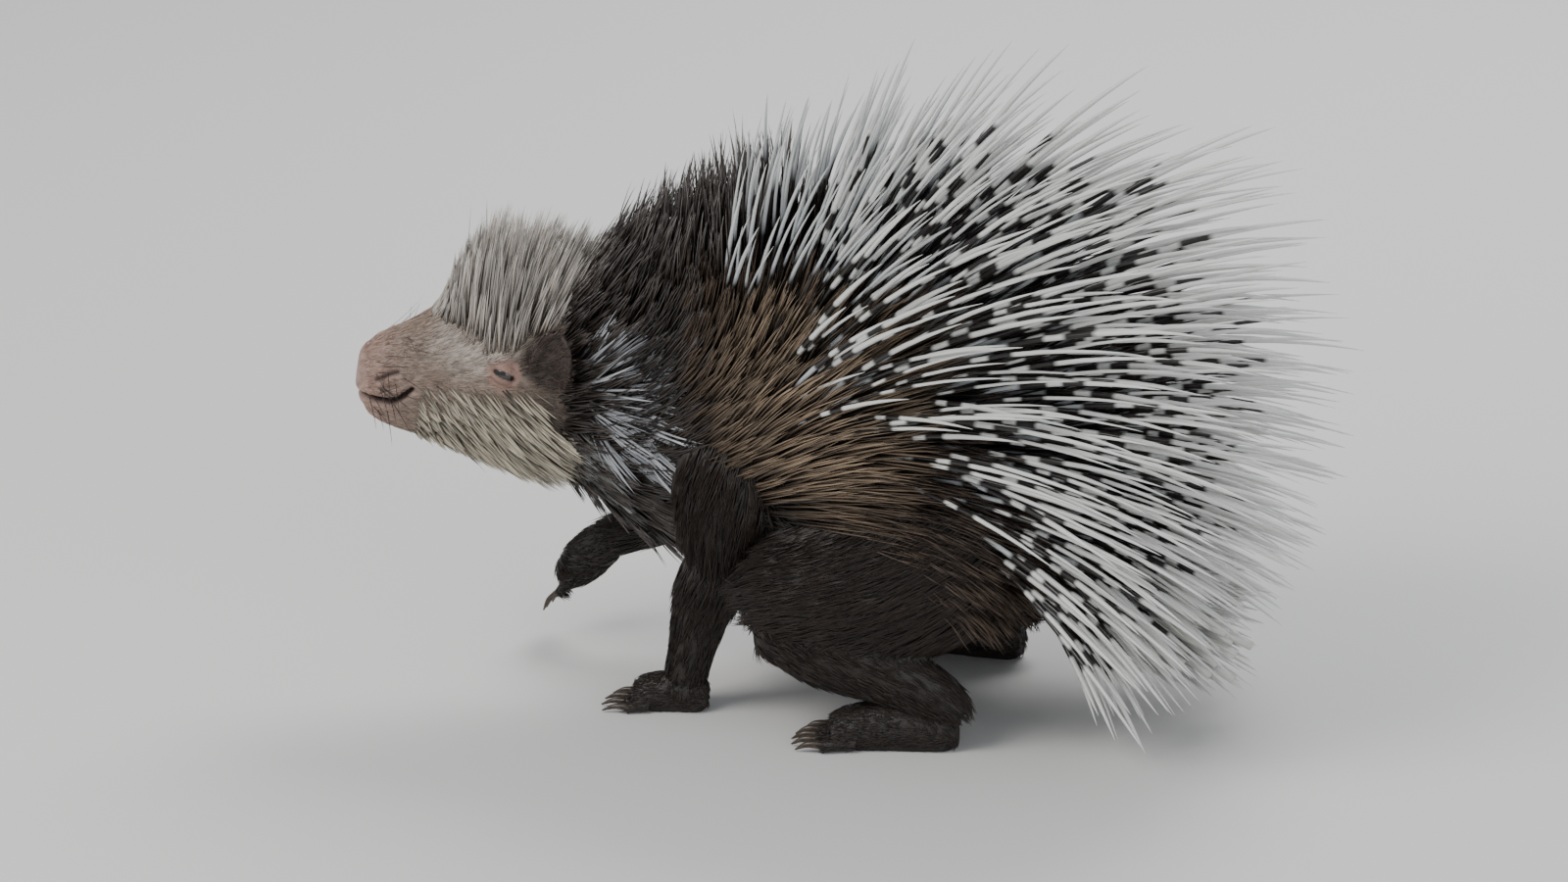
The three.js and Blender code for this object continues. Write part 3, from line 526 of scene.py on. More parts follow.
print("modelling the head")
headParts = [modelForm("skull", skull, 90, 96, fromHead)]
for sign in (-1, 1):
    centre = eyeCentre(sign)
    headParts.append(modelBall("lid", fromHead(centre), headSizes["eyeRadius"] + 1.5, 40))
    brow = [centre + np.array([dx, sign * dy, dz]) for dx, dy, dz in headSizes["brow"]]
    headParts.append(modelBar("brow", brow, [3, 4.2, 3], 20, fromHead))
    headParts.append(modelEar(sign))
headSkin = joinAll("headSkin", headParts)
fuse(headSkin, 1.25, 5)
shapeFace(headSkin)
print("head skin faces:", len(headSkin.data.polygons))

print("modelling the body")
bodyParts = [modelForm("trunk", trunk, 80, 72), modelForm("tailStem", tail, 30, 40)]
for name in ("thigh", "shank"):
    for change in (None, mirrored):
        bodyParts.append(modelForm(name, limbs[name], 36, 40, change))
for name in ("upperArm", "forearm", "raisedArm", "raisedForearm"):
    bodyParts.append(modelForm(name, limbs[name], 36, 40))
bodySkin = joinAll("bodySkin", bodyParts)
fuse(bodySkin, 3.0, 8)
print("body skin faces:", len(bodySkin.data.polygons))

allClaws = []
footSkins = []
for kind, at, turn, dip, flip in feet["places"].values():
    parts, claws = modelFoot(kind, footPlacer(at, turn, dip, flip), dip == 0)
    footSkin = joinAll("footSkin", parts)
    fuse(footSkin, 1.7, 2)
    footSkins.append(footSkin)
    allClaws += claws
footSkin = joinAll("footSkin", footSkins)
claws = joinAll("claws", allClaws)
pointOutwards(claws)
bpy.ops.object.shade_smooth()

print("joining the skin")
for other in (bodySkin, footSkin):
    modify(headSkin, "BOOLEAN", operation="UNION", object=other, solver="MANIFOLD")
    bpy.data.objects.remove(other)
skin = headSkin
skin.name = "skin"
points = placeOf(skin)
points[:, 2] = np.where(points[:, 2] < 0.4, 0.0, points[:, 2])
setPlace(skin, points)
active(skin)
bpy.ops.object.shade_smooth()
print("skin faces:", len(skin.data.polygons))

eyes = []
for name, sign in (("left_eye", -1), ("right_eye", 1)):
    eye = modelBall(name + "_ball", fromHead(eyeCentre(sign)), headSizes["eyeRadius"], 48)
    active(eye)
    bpy.ops.object.shade_smooth()
    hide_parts(name)
    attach(eye, "root")
    eyes.append(eye)

print("unwrapping the skin")
active(skin)
bpy.ops.object.mode_set(mode="EDIT")
bpy.ops.mesh.select_all(action="SELECT")
bpy.ops.uv.smart_project(angle_limit=math.radians(75), island_margin=0.002)
bpy.ops.object.mode_set(mode="OBJECT")
skin.data.uv_layers.active.name = "OFBake"


# The skin as lists of triangles to grow the short coat from.
def readSkin(obj):
    mesh = obj.data
    mesh.calc_loop_triangles()
    count = len(mesh.loop_triangles)
    corners, loops = np.empty(count * 3, int), np.empty(count * 3, int)
    mesh.loop_triangles.foreach_get("vertices", corners)
    mesh.loop_triangles.foreach_get("loops", loops)
    uv = np.empty(len(mesh.loops) * 2)
    mesh.uv_layers["OFBake"].data.foreach_get("uv", uv)
    places = placeOf(obj)[corners.reshape(-1, 3)]
    edges = np.cross(places[:, 1] - places[:, 0], places[:, 2] - places[:, 0])
    return {
        "centre": places.mean(axis=1),
        "normal": unit(edges),
        "area": np.linalg.norm(edges, axis=1) / 2,
        "uv": uv.reshape(-1, 2)[loops.reshape(-1, 3)].mean(axis=1),
    }


skinFaces = readSkin(skin)
print("skin triangles:", len(skinFaces["area"]))
nearSkin = KDTree(len(skinFaces["centre"]))
for i, place in enumerate(skinFaces["centre"]):
    nearSkin.insert(place, i)
nearSkin.balance()


def nearestUv(points):
    return skinFaces["uv"][[nearSkin.find(p)[1] for p in points]]


# How far strands may reach past the box of the solids, as a share of it, how much of their length
# they keep at least, and how high they stay above the floor in metres.
room = {"past": 0.012, "least": 0.25, "floorGap": 0.0005, "lowest": 0.0004}
patchSize = 0.003  # of the unwrapped picture, for each strand


def roomFor(root, way, length):
    low, high = np.array(cadBox[0]), np.array(cadBox[1])
    margin = room["past"] * (high - low)
    start, end = metres(root), metres(root + way * length[:, None])
    lowest = low - margin * [1, 1, 0] + [0, 0, room["floorGap"]]
    over = np.maximum(end - (high + margin), lowest - end)
    share = 1 - over / np.maximum(np.abs(end - start), 1e-9)
    return np.clip(np.where(over > 0, share, 1).min(axis=1), room["least"], 1)


# Makes many strands as one mesh. Each bends from its root by a share of its length. A shape has the
# widths at shares along it, the number of sides, and for banded quills the strips of the picture.
def makeStrands(name, root, lie, bend, normal, length, width, thick, tone, shape):
    along, profile, sides = np.array(shape["along"]), np.array(shape["profile"]), shape["sides"]
    strips = shape.get("strips", 0)
    count, rows = len(root), len(along)
    length = (length * roomFor(root, lie + bend, length))[:, None, None]
    t = along[None, :, None]
    middle = root[:, None, :] + lie[:, None, :] * length * t + bend[:, None, :] * length * t * np.abs(t)
    heading = unit(np.gradient(middle, axis=1))
    flat = unit(np.cross(heading, normal[:, None, :]))
    proud = np.cross(flat, heading)
    turn = (np.arange(sides) / sides + 0.25) * 2 * math.pi
    wide = (width[:, None] * profile / 2)[:, :, None, None] * np.cos(turn)[:, None]
    deep = (thick[:, None] * profile / 2)[:, :, None, None] * np.sin(turn)[:, None]
    places = middle[:, :, None, :] + flat[:, :, None, :] * wide + proud[:, :, None, :] * deep
    places = metres(places.reshape(-1, 3))
    places[:, 2] = np.maximum(places[:, 2], room["lowest"])
    starts = (np.arange(count) * rows * sides)[:, None, None]
    ring = starts + (np.arange(rows - 1) * sides)[:, None]
    here = np.arange(sides)
    beside = (here + 1) % sides
    quads = [ring + here, ring + beside, ring + sides + beside, ring + sides + here]
    quads = np.stack(quads, axis=-1).reshape(-1, 4)
    rootCap, tipCap = starts[:, 0] + here[::-1], starts[:, 0] + (rows - 1) * sides + here
    corners = np.concatenate([quads.ravel(), rootCap.ravel(), tipCap.ravel()])
    sizes = np.repeat([4, sides], [len(quads), 2 * count])
    mesh = bpy.data.meshes.new(name)
    mesh.vertices.add(len(places))
    mesh.vertices.foreach_set("co", places.ravel())
    mesh.loops.add(len(corners))
    mesh.loops.foreach_set("vertex_index", corners)
    mesh.polygons.add(len(sizes))
    mesh.polygons.foreach_set("loop_start", np.concatenate([[0], np.cumsum(sizes)[:-1]]))
    mesh.polygons.foreach_set("loop_total", sizes)
    mesh.polygons.foreach_set("use_smooth", np.ones(len(sizes), bool))
    perVertex = (along[:, None], tone[:, None, None], here / sides)
    share, shade, around = (np.broadcast_to(v, (count, rows, sides)).ravel() for v in perVertex)
    share = np.clip(share, 0, 1)
    for key, values in (("along", share), ("tone", np.clip(shade, 0, 1))):
        layer = mesh.attributes.new(key, "FLOAT", "POINT")
        layer.data.foreach_set("value", values.astype(np.float32))
    if strips:
        u = 0.02 + 0.96 * share
        v = (np.floor(shade * strips) + 0.25 + 0.5 * around) / strips
    else:
        patch = np.repeat(nearestUv(root), rows * sides, axis=0)
        u = patch[:, 0] + patchSize * (share - 0.5)
        v = patch[:, 1] + patchSize * (around - 0.5)
    layer = mesh.uv_layers.new(name="OFBake")
    layer.data.foreach_set("uv", np.stack([u, v], axis=1)[corners].ravel())
    mesh.update(calc_edges=True)
    mesh.validate()
    obj = bpy.data.objects.new(name, mesh)
    bpy.context.collection.objects.link(obj)
    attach(obj, "root")
    print(name, "strands:", count, "triangles:", len(quads) * 2 + 2 * count * (sides - 2))
    return obj


# Draws the tips of neighbouring hairs together into wet tufts, each tuft with a shade of its own.
tuftSizes = {"warp": 0.35, "wave": 1.7, "tuftShade": 0.55, "ownShade": 0.45}


def gather(root, lie, length, spacing, pull, random):
    s = tuftSizes
    warped = root + s["warp"] * spacing * np.sin(root[:, [1, 2, 0]] / spacing * s["wave"])
    group = np.unique(np.floor(warped / spacing), axis=0, return_inverse=True)[1].ravel()
    size = np.bincount(group)
    tips = root + lie * length[:, None]
    middle = np.stack([np.bincount(group, tips[:, i]) / size for i in range(3)], axis=1)
    way = tips + pull * (middle[group] - tips) - root
    tone = s["tuftShade"] * random.uniform(0, 1, len(size))[group]
    tone = tone + s["ownShade"] * random.uniform(0, 1, len(root))
    return unit(way), np.linalg.norm(way, axis=1), tone


bristleShape = {"along": [-0.06, 0.1, 0.35, 0.62, 0.85, 1.0],
                "profile": [0.7, 1, 1, 0.78, 0.42, 0.06], "sides": 3}


# Gathers strands and makes them. The style says how far apart the tufts are and how hard they pull,
# how the strands bend off the skin and droop, and how flat they are.
def growLocks(name, root, lie, normal, length, width, style, random, shape=bristleShape):
    lie, length, tone = gather(root, lie, length, style["spacing"], style["pull"], random)
    bend = style["bend"] * normal - np.array([0, 0, style.get("droop", 0)])
    thick = width * style["flat"]
    return makeStrands(name, root, lie, bend, normal, length, width, thick, tone, shape)


# Tilts strands away from the skin: those that lie too flat, or all of them to the same slope.
def lifted(lie, normal, stand, even=False):
    lift = stand - np.sum(lie * normal, axis=1)
    return unit(lie + normal * (lift if even else np.maximum(0, lift))[:, None])


# How the coat lies and how long it is, along the trunk from the neck to the tail.
coat = {
    "rise": [(0, 62), (0.12, 74), (0.2, 86), (0.3, 97), (0.38, 88), (0.42, 77), (0.46, 64), (0.5, 52),
             (0.56, 41), (0.62, 32), (0.7, 21), (0.8, 7), (0.9, -9), (1, -22)],
    "length": [(0, 50), (0.1, 68), (0.2, 94), (0.3, 112), (0.38, 132), (0.44, 160), (0.5, 200),
               (0.56, 206), (0.62, 192), (0.7, 174), (0.8, 150), (0.9, 122), (1, 94)],
    "flankAngle": 1.25, "flankFall": 23, "outwardYaw": 26, "riseWobble": 7, "yawWobble": 9,
}


def trunkLie(share, angle, normal, random, stand, loose):
    s = coat
    side = np.abs(angle) / s["flankAngle"]
    wobble = random.uniform(-1, 1, (2, len(share))) * loose
    rise = reading(s["rise"], share) - s["flankFall"] * side**2 + s["riseWobble"] * wobble[0]
    yaw = np.sign(angle) * s["outwardYaw"] * np.minimum(side, 1.2) + s["yawWobble"] * wobble[1]
    rise, yaw = np.radians(rise), np.radians(yaw)
    lie = np.stack([np.cos(rise) * np.cos(yaw), np.sin(yaw), np.sin(rise) * np.cos(yaw)], axis=1)
    return lifted(lie, normal, stand)


# Even random places: a grid of cells, each with one place set loosely inside it.
def scatter(count, random):
    columns = max(1, int(math.sqrt(count)))
    rows = math.ceil(count / columns)
    grid = np.meshgrid(np.arange(rows), np.arange(columns), indexing="ij")
    grid = np.stack(grid, axis=-1).reshape(-1, 2)
    grid = grid + random.uniform(0.05, 0.95, grid.shape)
    order = random.permutation(len(grid))[:count]
    return grid[order, 0] / rows, grid[order, 1] / columns


# Places on both sides of the trunk. An area goes from a share to a share and from an angle to one.
def trunkPlaces(area, count, random):
    across, around = scatter(count, random)
    share = area[0] + (area[1] - area[0]) * across
    span = 2 * around - 1
    angle = np.sign(span) * (area[2] + (area[3] - area[2]) * np.abs(span))
    return share, angle, trunk.point(share, angle), trunk.normal(share, angle)


quillShape = {
    "along": [-0.05, 0.02, 0.16, 0.34, 0.52, 0.68, 0.8, 0.9, 0.97, 1.0],
    "profile": [0.55, 0.7, 0.92, 1.0, 1.0, 0.9, 0.72, 0.48, 0.22, 0.06],
    "sides": 6,
    "strips": 16,
}
quillStyles = {
    "backQuills": {"area": (0.4, 0.98, 0.0, 1.5), "count": 860, "seed": 3, "length": 1.0,
                   "width": 3.7, "stand": 0.3},
    "shoulderQuills": {"area": (0.3, 0.46, 0.0, 1.0), "count": 160, "seed": 4, "length": 0.92,
                       "width": 2.6, "stand": 0.34},
}


def growQuills(name, style):
    random = np.random.default_rng(style["seed"])
    share, angle, root, normal = trunkPlaces(style["area"], style["count"], random)
    lie = trunkLie(share, angle, normal, random, style["stand"], 1.0)
    length = reading(coat["length"], share) * style["length"] * random.uniform(0.62, 1.03, len(share))
    bend = -0.05 * normal
    bend[:, 0] += 0.14 * np.maximum(lie[:, 2], 0)
    bend[:, 2] -= 0.2 * np.abs(lie[:, 0])
    width = style["width"] * random.uniform(0.6, 1.12, len(share))
    tone = random.uniform(0, 1, len(share))
    return makeStrands(name, root, lie, bend, normal, length, width, width, tone, quillShape)


print("growing the quills")
grown = {name: growQuills(name, style) for name, style in quillStyles.items()}


# Bristles: flat locks and coarse hairs along the trunk. The white ruff fans out backwards from a
# whorl behind each ear. Behind the jaw the beard runs on over the throat, pointing back and down.
bristleCommon = {"spread": (0.6, 1.3), "loose": 1.5, "spacing": 12, "pull": 0.62, "droop": 0.05}
bristleStyles = {
    "napeMane": {"area": (0.03, 0.34, 0, 0.85), "count": 900, "seed": 5, "length": (0.5, 1.0),
                 "width": 1.9, "thick": 1.1, "stand": 0.3, "bend": -0.16},
    "backBristles": {"area": (0.34, 0.97, 0, 1.5), "count": 2800, "seed": 6, "length": (0.26, 0.52),
                     "width": 1.5, "thick": 0.9, "stand": 0.24, "bend": -0.14},
    "shoulderCoat": {"area": (0.24, 0.52, 0.75, 2.0), "count": 3400, "seed": 7, "length": (0.28, 0.56),
                     "width": 1.9, "thick": 1.0, "stand": 0.2, "bend": -0.16},
    "neckCoat": {"area": (-0.02, 0.28, 0.6, 2.9), "count": 3600, "seed": 20, "length": (0.32, 0.6),
                 "width": 1.5, "thick": 0.9, "stand": 0.16, "bend": -0.14},
    "flankCoat": {"area": (0.5, 0.8, 1.2, 2.0), "count": 2400, "seed": 8, "length": (0.2, 0.4),
                  "width": 1.9, "thick": 1.0, "stand": 0.2, "bend": -0.14},
    "ruff": {"area": (0.065, 0.2, 1.24, 1.98), "count": 560, "seed": 9, "length": (30, 58),
             "width": 2.0, "thick": 0.8, "stand": 0.3, "bend": -0.2, "droop": 0, "spacing": 8,
             "pull": 0.65, "way": (10, 0, 4), "loose": 5, "whorl": (0.05, 1.6)},
    "throatBeard": {"area": (0.0, 0.085, 1.9, 2.75), "count": 400, "seed": 19, "length": (22, 38),
                    "width": 1, "thick": 0.45, "spread": (1.0, 2.2), "stand": 0.24, "bend": -0.14,
                    "droop": 0, "spacing": 8, "pull": 0.5, "way": (0.78, 0, -0.62), "loose": 0.12},
}


def growBristles(name, style):
    s = {**bristleCommon, "flat": style["thick"] / style["width"], **style}
    random = np.random.default_rng(s["seed"])
    share, angle, root, normal = trunkPlaces(s["area"], s["count"], random)
    if "way" in s:
        way = np.array(s["way"]) + random.normal(0, s["loose"], root.shape)
        if "whorl" in s:
            at, around = s["whorl"]
            way = way + root - trunk.point(np.full(len(share), at), around * np.sign(angle))
        lie = lifted(unit(way), normal, s["stand"], even=True)
        full = 1
    else:
        lie = trunkLie(share, angle, normal, random, s["stand"], s["loose"])
        full = reading(coat["length"], share)
    length = full * random.uniform(*s["length"], len(share))
    width = s["width"] * random.uniform(*s["spread"], len(share))
    return growLocks(name, root, lie, normal, length, width, s, random)


print("growing the bristles")
grown |= {name: growBristles(name, style) for name, style in bristleStyles.items()}


def eyeGap(head):
    gaps = [(head - eyeCentre(side)) / [1.5, 1, 1] for side in (-1, 1)]
    return np.linalg.norm(gaps, axis=2).min(axis=0)


# Strands of the head: crest, beard and whiskers. They stay clear of the eyes.
headCommon = {"eyeClear": 10, "eyeLoose": 2.5, "stand": 0.24, "spacing": 6.5, "pull": 0.7, "flat": 0.5}


def growHead(name, distance, angle, way, length, style):
    s = {**headCommon, **style}
    random = np.random.default_rng(s["seed"])
    share = skullShare(distance)
    place = skull.point(share, angle)
    clear = eyeGap(place) > s["eyeClear"] + random.uniform(0, s["eyeLoose"], len(share))
    share, angle, way, length, place = (v[clear] for v in (share, angle, way, length, place))
    normal = skull.normal(share, angle) @ turnMatrix.T
    lie = lifted(unit(way) @ turnMatrix.T, normal, s["stand"])
    width = s["width"] * random.uniform(0.6, 1.3, len(share))
    return growLocks(name, fromHead(place), lie, normal, length, width, s, random)


# Hair on the crown or the jaw, sloping back and up or down.
def growSloping(name, distance, angle, across, s, random, full=1):
    count = len(angle)
    slope = np.radians(reading(s["slope"], distance) + random.uniform(-s["tilt"], s["tilt"], count))
    across = across + random.normal(0, 0.08, count)
    way = np.stack([np.cos(slope), across, s["up"] * np.sin(slope)], axis=1)
    length = reading(s["length"], distance) * full * random.uniform(0.5, 1.05, count)
    return growHead(name, distance, angle, way, length, s)


crestStyle = {
    "count": 2600, "seed": 10, "from": 46, "to": 150, "width": 1.2, "bend": -0.16, "tilt": 8, "up": 1,
    "slope": [(46, 60), (58, 88), (90, 84), (146, 52)],
    "length": [(46, 8), (56, 30), (66, 66), (80, 80), (100, 76), (146, 70)],
    "halfAngle": [(46, 0.3), (56, 0.52), (70, 0.88), (85, 1.16), (100, 1.3), (106, 0.88), (150, 0.88)],
}


def growCrest(s):
    random = np.random.default_rng(s["seed"])
    back, around = scatter(s["count"], random)
    distance = s["from"] + (s["to"] - s["from"]) * back
    turn = 2 * around - 1
    angle = turn * reading(s["halfAngle"], distance) * random.uniform(0.88, 1.14, len(turn))
    full = 1 - 0.72 * np.abs(turn) ** 3
    return growSloping("crest", distance, angle, 0.14 * angle, s, random, full)


beardStyle = {
    "count": 2300, "seed": 11, "from": 38, "to": 146, "width": 1.5, "bend": -0.12, "tilt": 9, "up": -1,
    "angle": 1.5, "jaw": 112, "jawAngle": 1.95,
    "slope": [(38, 58), (140, 34)], "length": [(38, 9), (60, 19), (90, 32), (140, 38)],
}


def growBeard(s):
    random = np.random.default_rng(s["seed"])
    back, around = scatter(s["count"], random)
    distance = s["from"] + (s["to"] - s["from"]) * back
    angle = s["angle"] + (2 * math.pi - 2 * s["angle"]) * around
    side = np.minimum(angle, 2 * math.pi - angle)
    clear = (distance < s["jaw"]) | (side > s["jawAngle"])
    distance, angle = distance[clear], angle[clear]
    return growSloping("beard", distance, angle, 0.2 * np.sin(angle), s, random)


grown["crest"] = growCrest(crestStyle)
grown["beard"] = growBeard(beardStyle)


# The tail: pointed white quills and blunt hollow rattle quills.
tailStyles = {
    "tailQuills": {"count": 300, "seed": 12, "from": 0.2, "span": 0.78, "lift": (0.2, 0.5),
                   "bend": -0.08, "length": (46, 80), "width": (1.8, 3.2),
                   "shape": {**quillShape, "sides": 5, "strips": 0}},
    "rattleQuills": {"count": 34, "seed": 13, "from": 0.62, "span": 0.36, "lift": (0.25, 0.5),
                     "bend": -0.05, "length": (44, 66), "width": (4.4, 6.0), "shape": {
                         "along": [-0.05, 0.05, 0.36, 0.46, 0.56, 0.8, 0.995, 1.0, 0.99, 0.8],
                         "profile": [0.24, 0.22, 0.2, 0.34, 0.9, 1.0, 1.0, 0.92, 0.8, 0.7],
                         "sides": 8}},
}


def growTail(name, style):
    random = np.random.default_rng(style["seed"])
    count = style["count"]
    along, around = scatter(count, random)
    share, angle = style["from"] + style["span"] * along, (2 * around - 1) * math.pi
    root, normal = tail.point(share, angle), tail.normal(share, angle)
    lie = unit(tail.line.tangent(share) + normal * random.uniform(*style["lift"], count)[:, None])
    bend = np.tile([0, 0, style["bend"]], (count, 1))
    length = random.uniform(*style["length"], count)
    width = random.uniform(*style["width"], count)
    tone = random.uniform(0, 1, count)
    return makeStrands(name, root, lie, bend, normal, length, width, width, tone, style["shape"])


grown |= {name: growTail(name, style) for name, style in tailStyles.items()}

# Short coat on the skin itself: face, ears, belly, legs and feet.
forms = [(form, None) for form in (trunk, tail, *limbs.values())]
forms += [(limbs[name], mirrored) for name in ("thigh", "shank")]


def flowOf(points, normals):
    flow = np.tile([-1.0, 0, -0.1], (len(points), 1))
    best = np.full(len(points), 1.35)
    for form, change in forms:
        share, out = form.nearest(mirrored(points) if change else points)[::2]
        along = form.line.tangent(share)
        along = mirrored(along) if change else along
        closer = out < best
        flow[closer], best[closer] = along[closer], out[closer]
    inHead = toHead(points)[:, 0] < 128
    head = toHead(points[inHead])
    rise = np.interp(head[:, 2], [-25, 8, 45], [-0.6, 0.05, 1.3])
    rise = rise * np.interp(head[:, 0], [25, 75], [0.1, 1])
    flow[inHead] = np.stack([np.ones(len(rise)), np.zeros(len(rise)), rise], axis=1) @ turnMatrix.T
    return unit(flow - normals * np.sum(flow * normals, axis=1, keepdims=True))


shortShape = {"along": [-0.12, 0.35, 1.0], "profile": [0.9, 1.0, 0.08], "sides": 3}
shortStyles = {
    "faceFur": {"count": 14000, "seed": 14, "length": (3.2, 6.2), "width": 0.75, "lift": 0.2,
                "spacing": 3},
    "bodyFur": {"count": 13500, "seed": 15, "length": (18, 34), "width": 1.6, "lift": 0.2,
                "spacing": 13},
    "legFur": {"count": 13500, "seed": 16, "length": (9, 16), "width": 1.1, "lift": 0.22,
               "spacing": 9},
    "footFur": {"count": 5200, "seed": 17, "length": (4, 7), "width": 0.9, "lift": 0.26,
                "spacing": 5},
}
shortCommon = {"pull": 0.55, "bend": -0.12, "flat": 0.6}
bareSkin = {"eye": 9.6, "mouth": 3.2, "nostril": 3, "noseTip": 4}


def regionOf(name, centre):
    head = toHead(centre)
    bare = (eyeGap(head) < bareSkin["eye"]) | (head[:, 0] < bareSkin["noseTip"])
    for line in ("mouth", "nostril"):
        bare |= distanceTo(faceLines[line]["line"], head[:, [0, 2]]) < bareSkin[line]
    inHead = head[:, 0] < 150
    angle, out = trunk.nearest(centre)[1:]
    onTrunk = (out < 1.15) & ~inHead
    onFeet = (centre[:, 2] < 26) & ~inHead
    paw = (centre[:, 0] < -188) & (centre[:, 2] < 90) & ~inHead
    return {
        "faceFur": inHead & ~bare,
        "bodyFur": onTrunk & (np.abs(angle) > 1.7) & ~onFeet,
        "legFur": ~inHead & ~onTrunk & ~onFeet & ~paw,
        "footFur": (onFeet | paw) & (centre[:, 2] > 3),
    }[name]


def growShort(name, style):
    random = np.random.default_rng(style["seed"])
    weight = skinFaces["area"] * regionOf(name, skinFaces["centre"])
    picked = random.choice(len(weight), style["count"], p=weight / weight.sum())
    root, normal = skinFaces["centre"][picked], skinFaces["normal"][picked]
    flow = flowOf(root, normal)
    cross = np.cross(normal, flow)
    lie = unit(flow + normal * style["lift"] + cross * random.normal(0, 0.16, len(root))[:, None])
    length = random.uniform(*style["length"], len(root))
    if name == "legFur":
        length = length * np.interp(root[:, 2], [55, 100], [1, 2])
    if name == "faceFur":
        head = toHead(root)
        length = length * np.interp(head[:, 0], [30, 70], [0.85, 1.4])
        length = length * np.interp(head[:, 2], [22, 44], [1, 1.7])
    width = style["width"] * random.uniform(0.7, 1.3, len(root))
    tufts = {**shortCommon, **style}
    return growLocks(name, root, lie, normal, length, width, tufts, random, shortShape)


print("growing the short coat")
grown |= {name: growShort(name, style) for name, style in shortStyles.items()}

# Whiskers: long dark hairs of the muzzle.
whiskerStyle = {
    "count": 60, "seed": 18, "distance": (8, 30), "angle": (0.5, 2.2), "length": (18, 46),
    "width": 0.5, "flat": 1.0, "bend": 0.1, "pull": 0.0,
    "way": [(0.05, 0.9), (0.4, 1.0), (-0.7, 0.35)],
}


def growWhiskers(s):
    random, count = np.random.default_rng(s["seed"]), s["count"]
    side = np.where(np.arange(count) % 2 == 0, -1, 1)
    distance = random.uniform(*s["distance"], count)
    angle = side * random.uniform(*s["angle"], count)
    way = np.stack([random.uniform(*span, count) for span in s["way"]], axis=1)
    way[:, 1] *= side
    length = random.uniform(*s["length"], count)
    return growHead("whiskers", distance, angle, way, length, s)


grown["whiskers"] = growWhiskers(whiskerStyle)


# Materials. A value that is a socket is linked, and any other is set; colours are opaque.
def feed(tree, value, socket):
    if isinstance(value, bpy.types.NodeSocket):
        tree.links.new(value, socket)
    else:
        socket.default_value = (*value, 1) if socket.type == "RGBA" else value


def setUp(tree, made, values):
    for key, value in values.items():
        if hasattr(made, key):
            setattr(made, key, value)
        else:
            feed(tree, value, made.inputs[key.replace("_", " ")])
    return made


def node(tree, kind, **values):
    return setUp(tree, tree.nodes.new("ShaderNode" + kind), values)


def newMaterial(name):
    material = bpy.data.materials.new(name)
    material.use_nodes = True
    return material, material.node_tree, node(material.node_tree, "TexCoord").outputs["Object"]


def finishMaterial(material, **values):
    setUp(material.node_tree, material.node_tree.nodes["Principled BSDF"], values)
    return material


def noiseOn(tree, place, scale, detail=2.0):
    return node(tree, "TexNoise", Vector=place, Scale=scale, Detail=detail).outputs["Fac"]


def bumpOf(tree, height, strength, distance=0.0003):
    return node(tree, "Bump", Height=height, Strength=strength, Distance=distance).outputs["Normal"]


def attribute(tree, name):
    return node(tree, "Attribute", attribute_name=name).outputs["Fac"]


def number(tree, operation, *values):
    made = node(tree, "Math", operation=operation)
    for socket, value in zip(made.inputs, values):
        feed(tree, value, socket)
    return made.outputs["Value"]


def ramp(tree, value, stops):
    made = node(tree, "ValToRGB", Fac=value)
    elements = made.color_ramp.elements
    while len(elements) < len(stops):
        elements.new(0.5)
    for element, (place, tone) in zip(elements, stops):
        element.position = place
        element.color = (*tone, 1)
    return made.outputs["Color"]


def colourMix(tree, factor, a, b, blend="MIX"):
    mix = node(tree, "Mix", data_type="RGBA", blend_type=blend)
    colours = [s for s in mix.inputs if s.type == "RGBA"]
    for socket, value in zip((mix.inputs[0], *colours), (factor, a, b)):
        feed(tree, value, socket)
    return [s for s in mix.outputs if s.type == "RGBA"][0]


# One inside a soft ball and nought outside it. The radii are in millimetres.
def ballMask(tree, place, centre, outer, inner):
    distance = node(tree, "VectorMath", operation="DISTANCE")
    feed(tree, place, distance.inputs[0])
    feed(tree, tuple(metres(centre)), distance.inputs[1])
    ease = node(tree, "MapRange", interpolation_type="SMOOTHSTEP", Value=distance.outputs["Value"],
                From_Min=outer / 1000, From_Max=inner / 1000)
    return ease.outputs["Result"]


def grey(v, warm=0.0):
    return (v * (1 + warm), v, v * (1 - warm))


# The animal's markings, shared by its skin and its short coat: soft balls of tone, on the head's own
# axes. Those off the middle are on both sides. Noise moves their borders by up to the spread.
tones = {
    "dark": (0.018, 0.012, 0.009),
    "spread": 20,
    "patches": {
        "crown": ((112, 0, 30), 74, 52, (0.13, 0.1, 0.08)),
        "face": ((50, 0, 2), 76, 56, (0.26, 0.195, 0.155)),
        "lowerCheek": ((82, 0, -46), 66, 40, (0.27, 0.22, 0.17)),
        # The pale brow is partly the hair's own pale tone and partly a painted highlight on the wet
        # brow.
        "brow": ((76, -26, 36), 40, 16, (0.4, 0.345, 0.3)),
        "muzzle": ((4, 0, 0), 50, 18, (0.36, 0.235, 0.19)),
        "ear": ((124, -50, 26), 29, 19, (0.05, 0.034, 0.027)),
    },
}


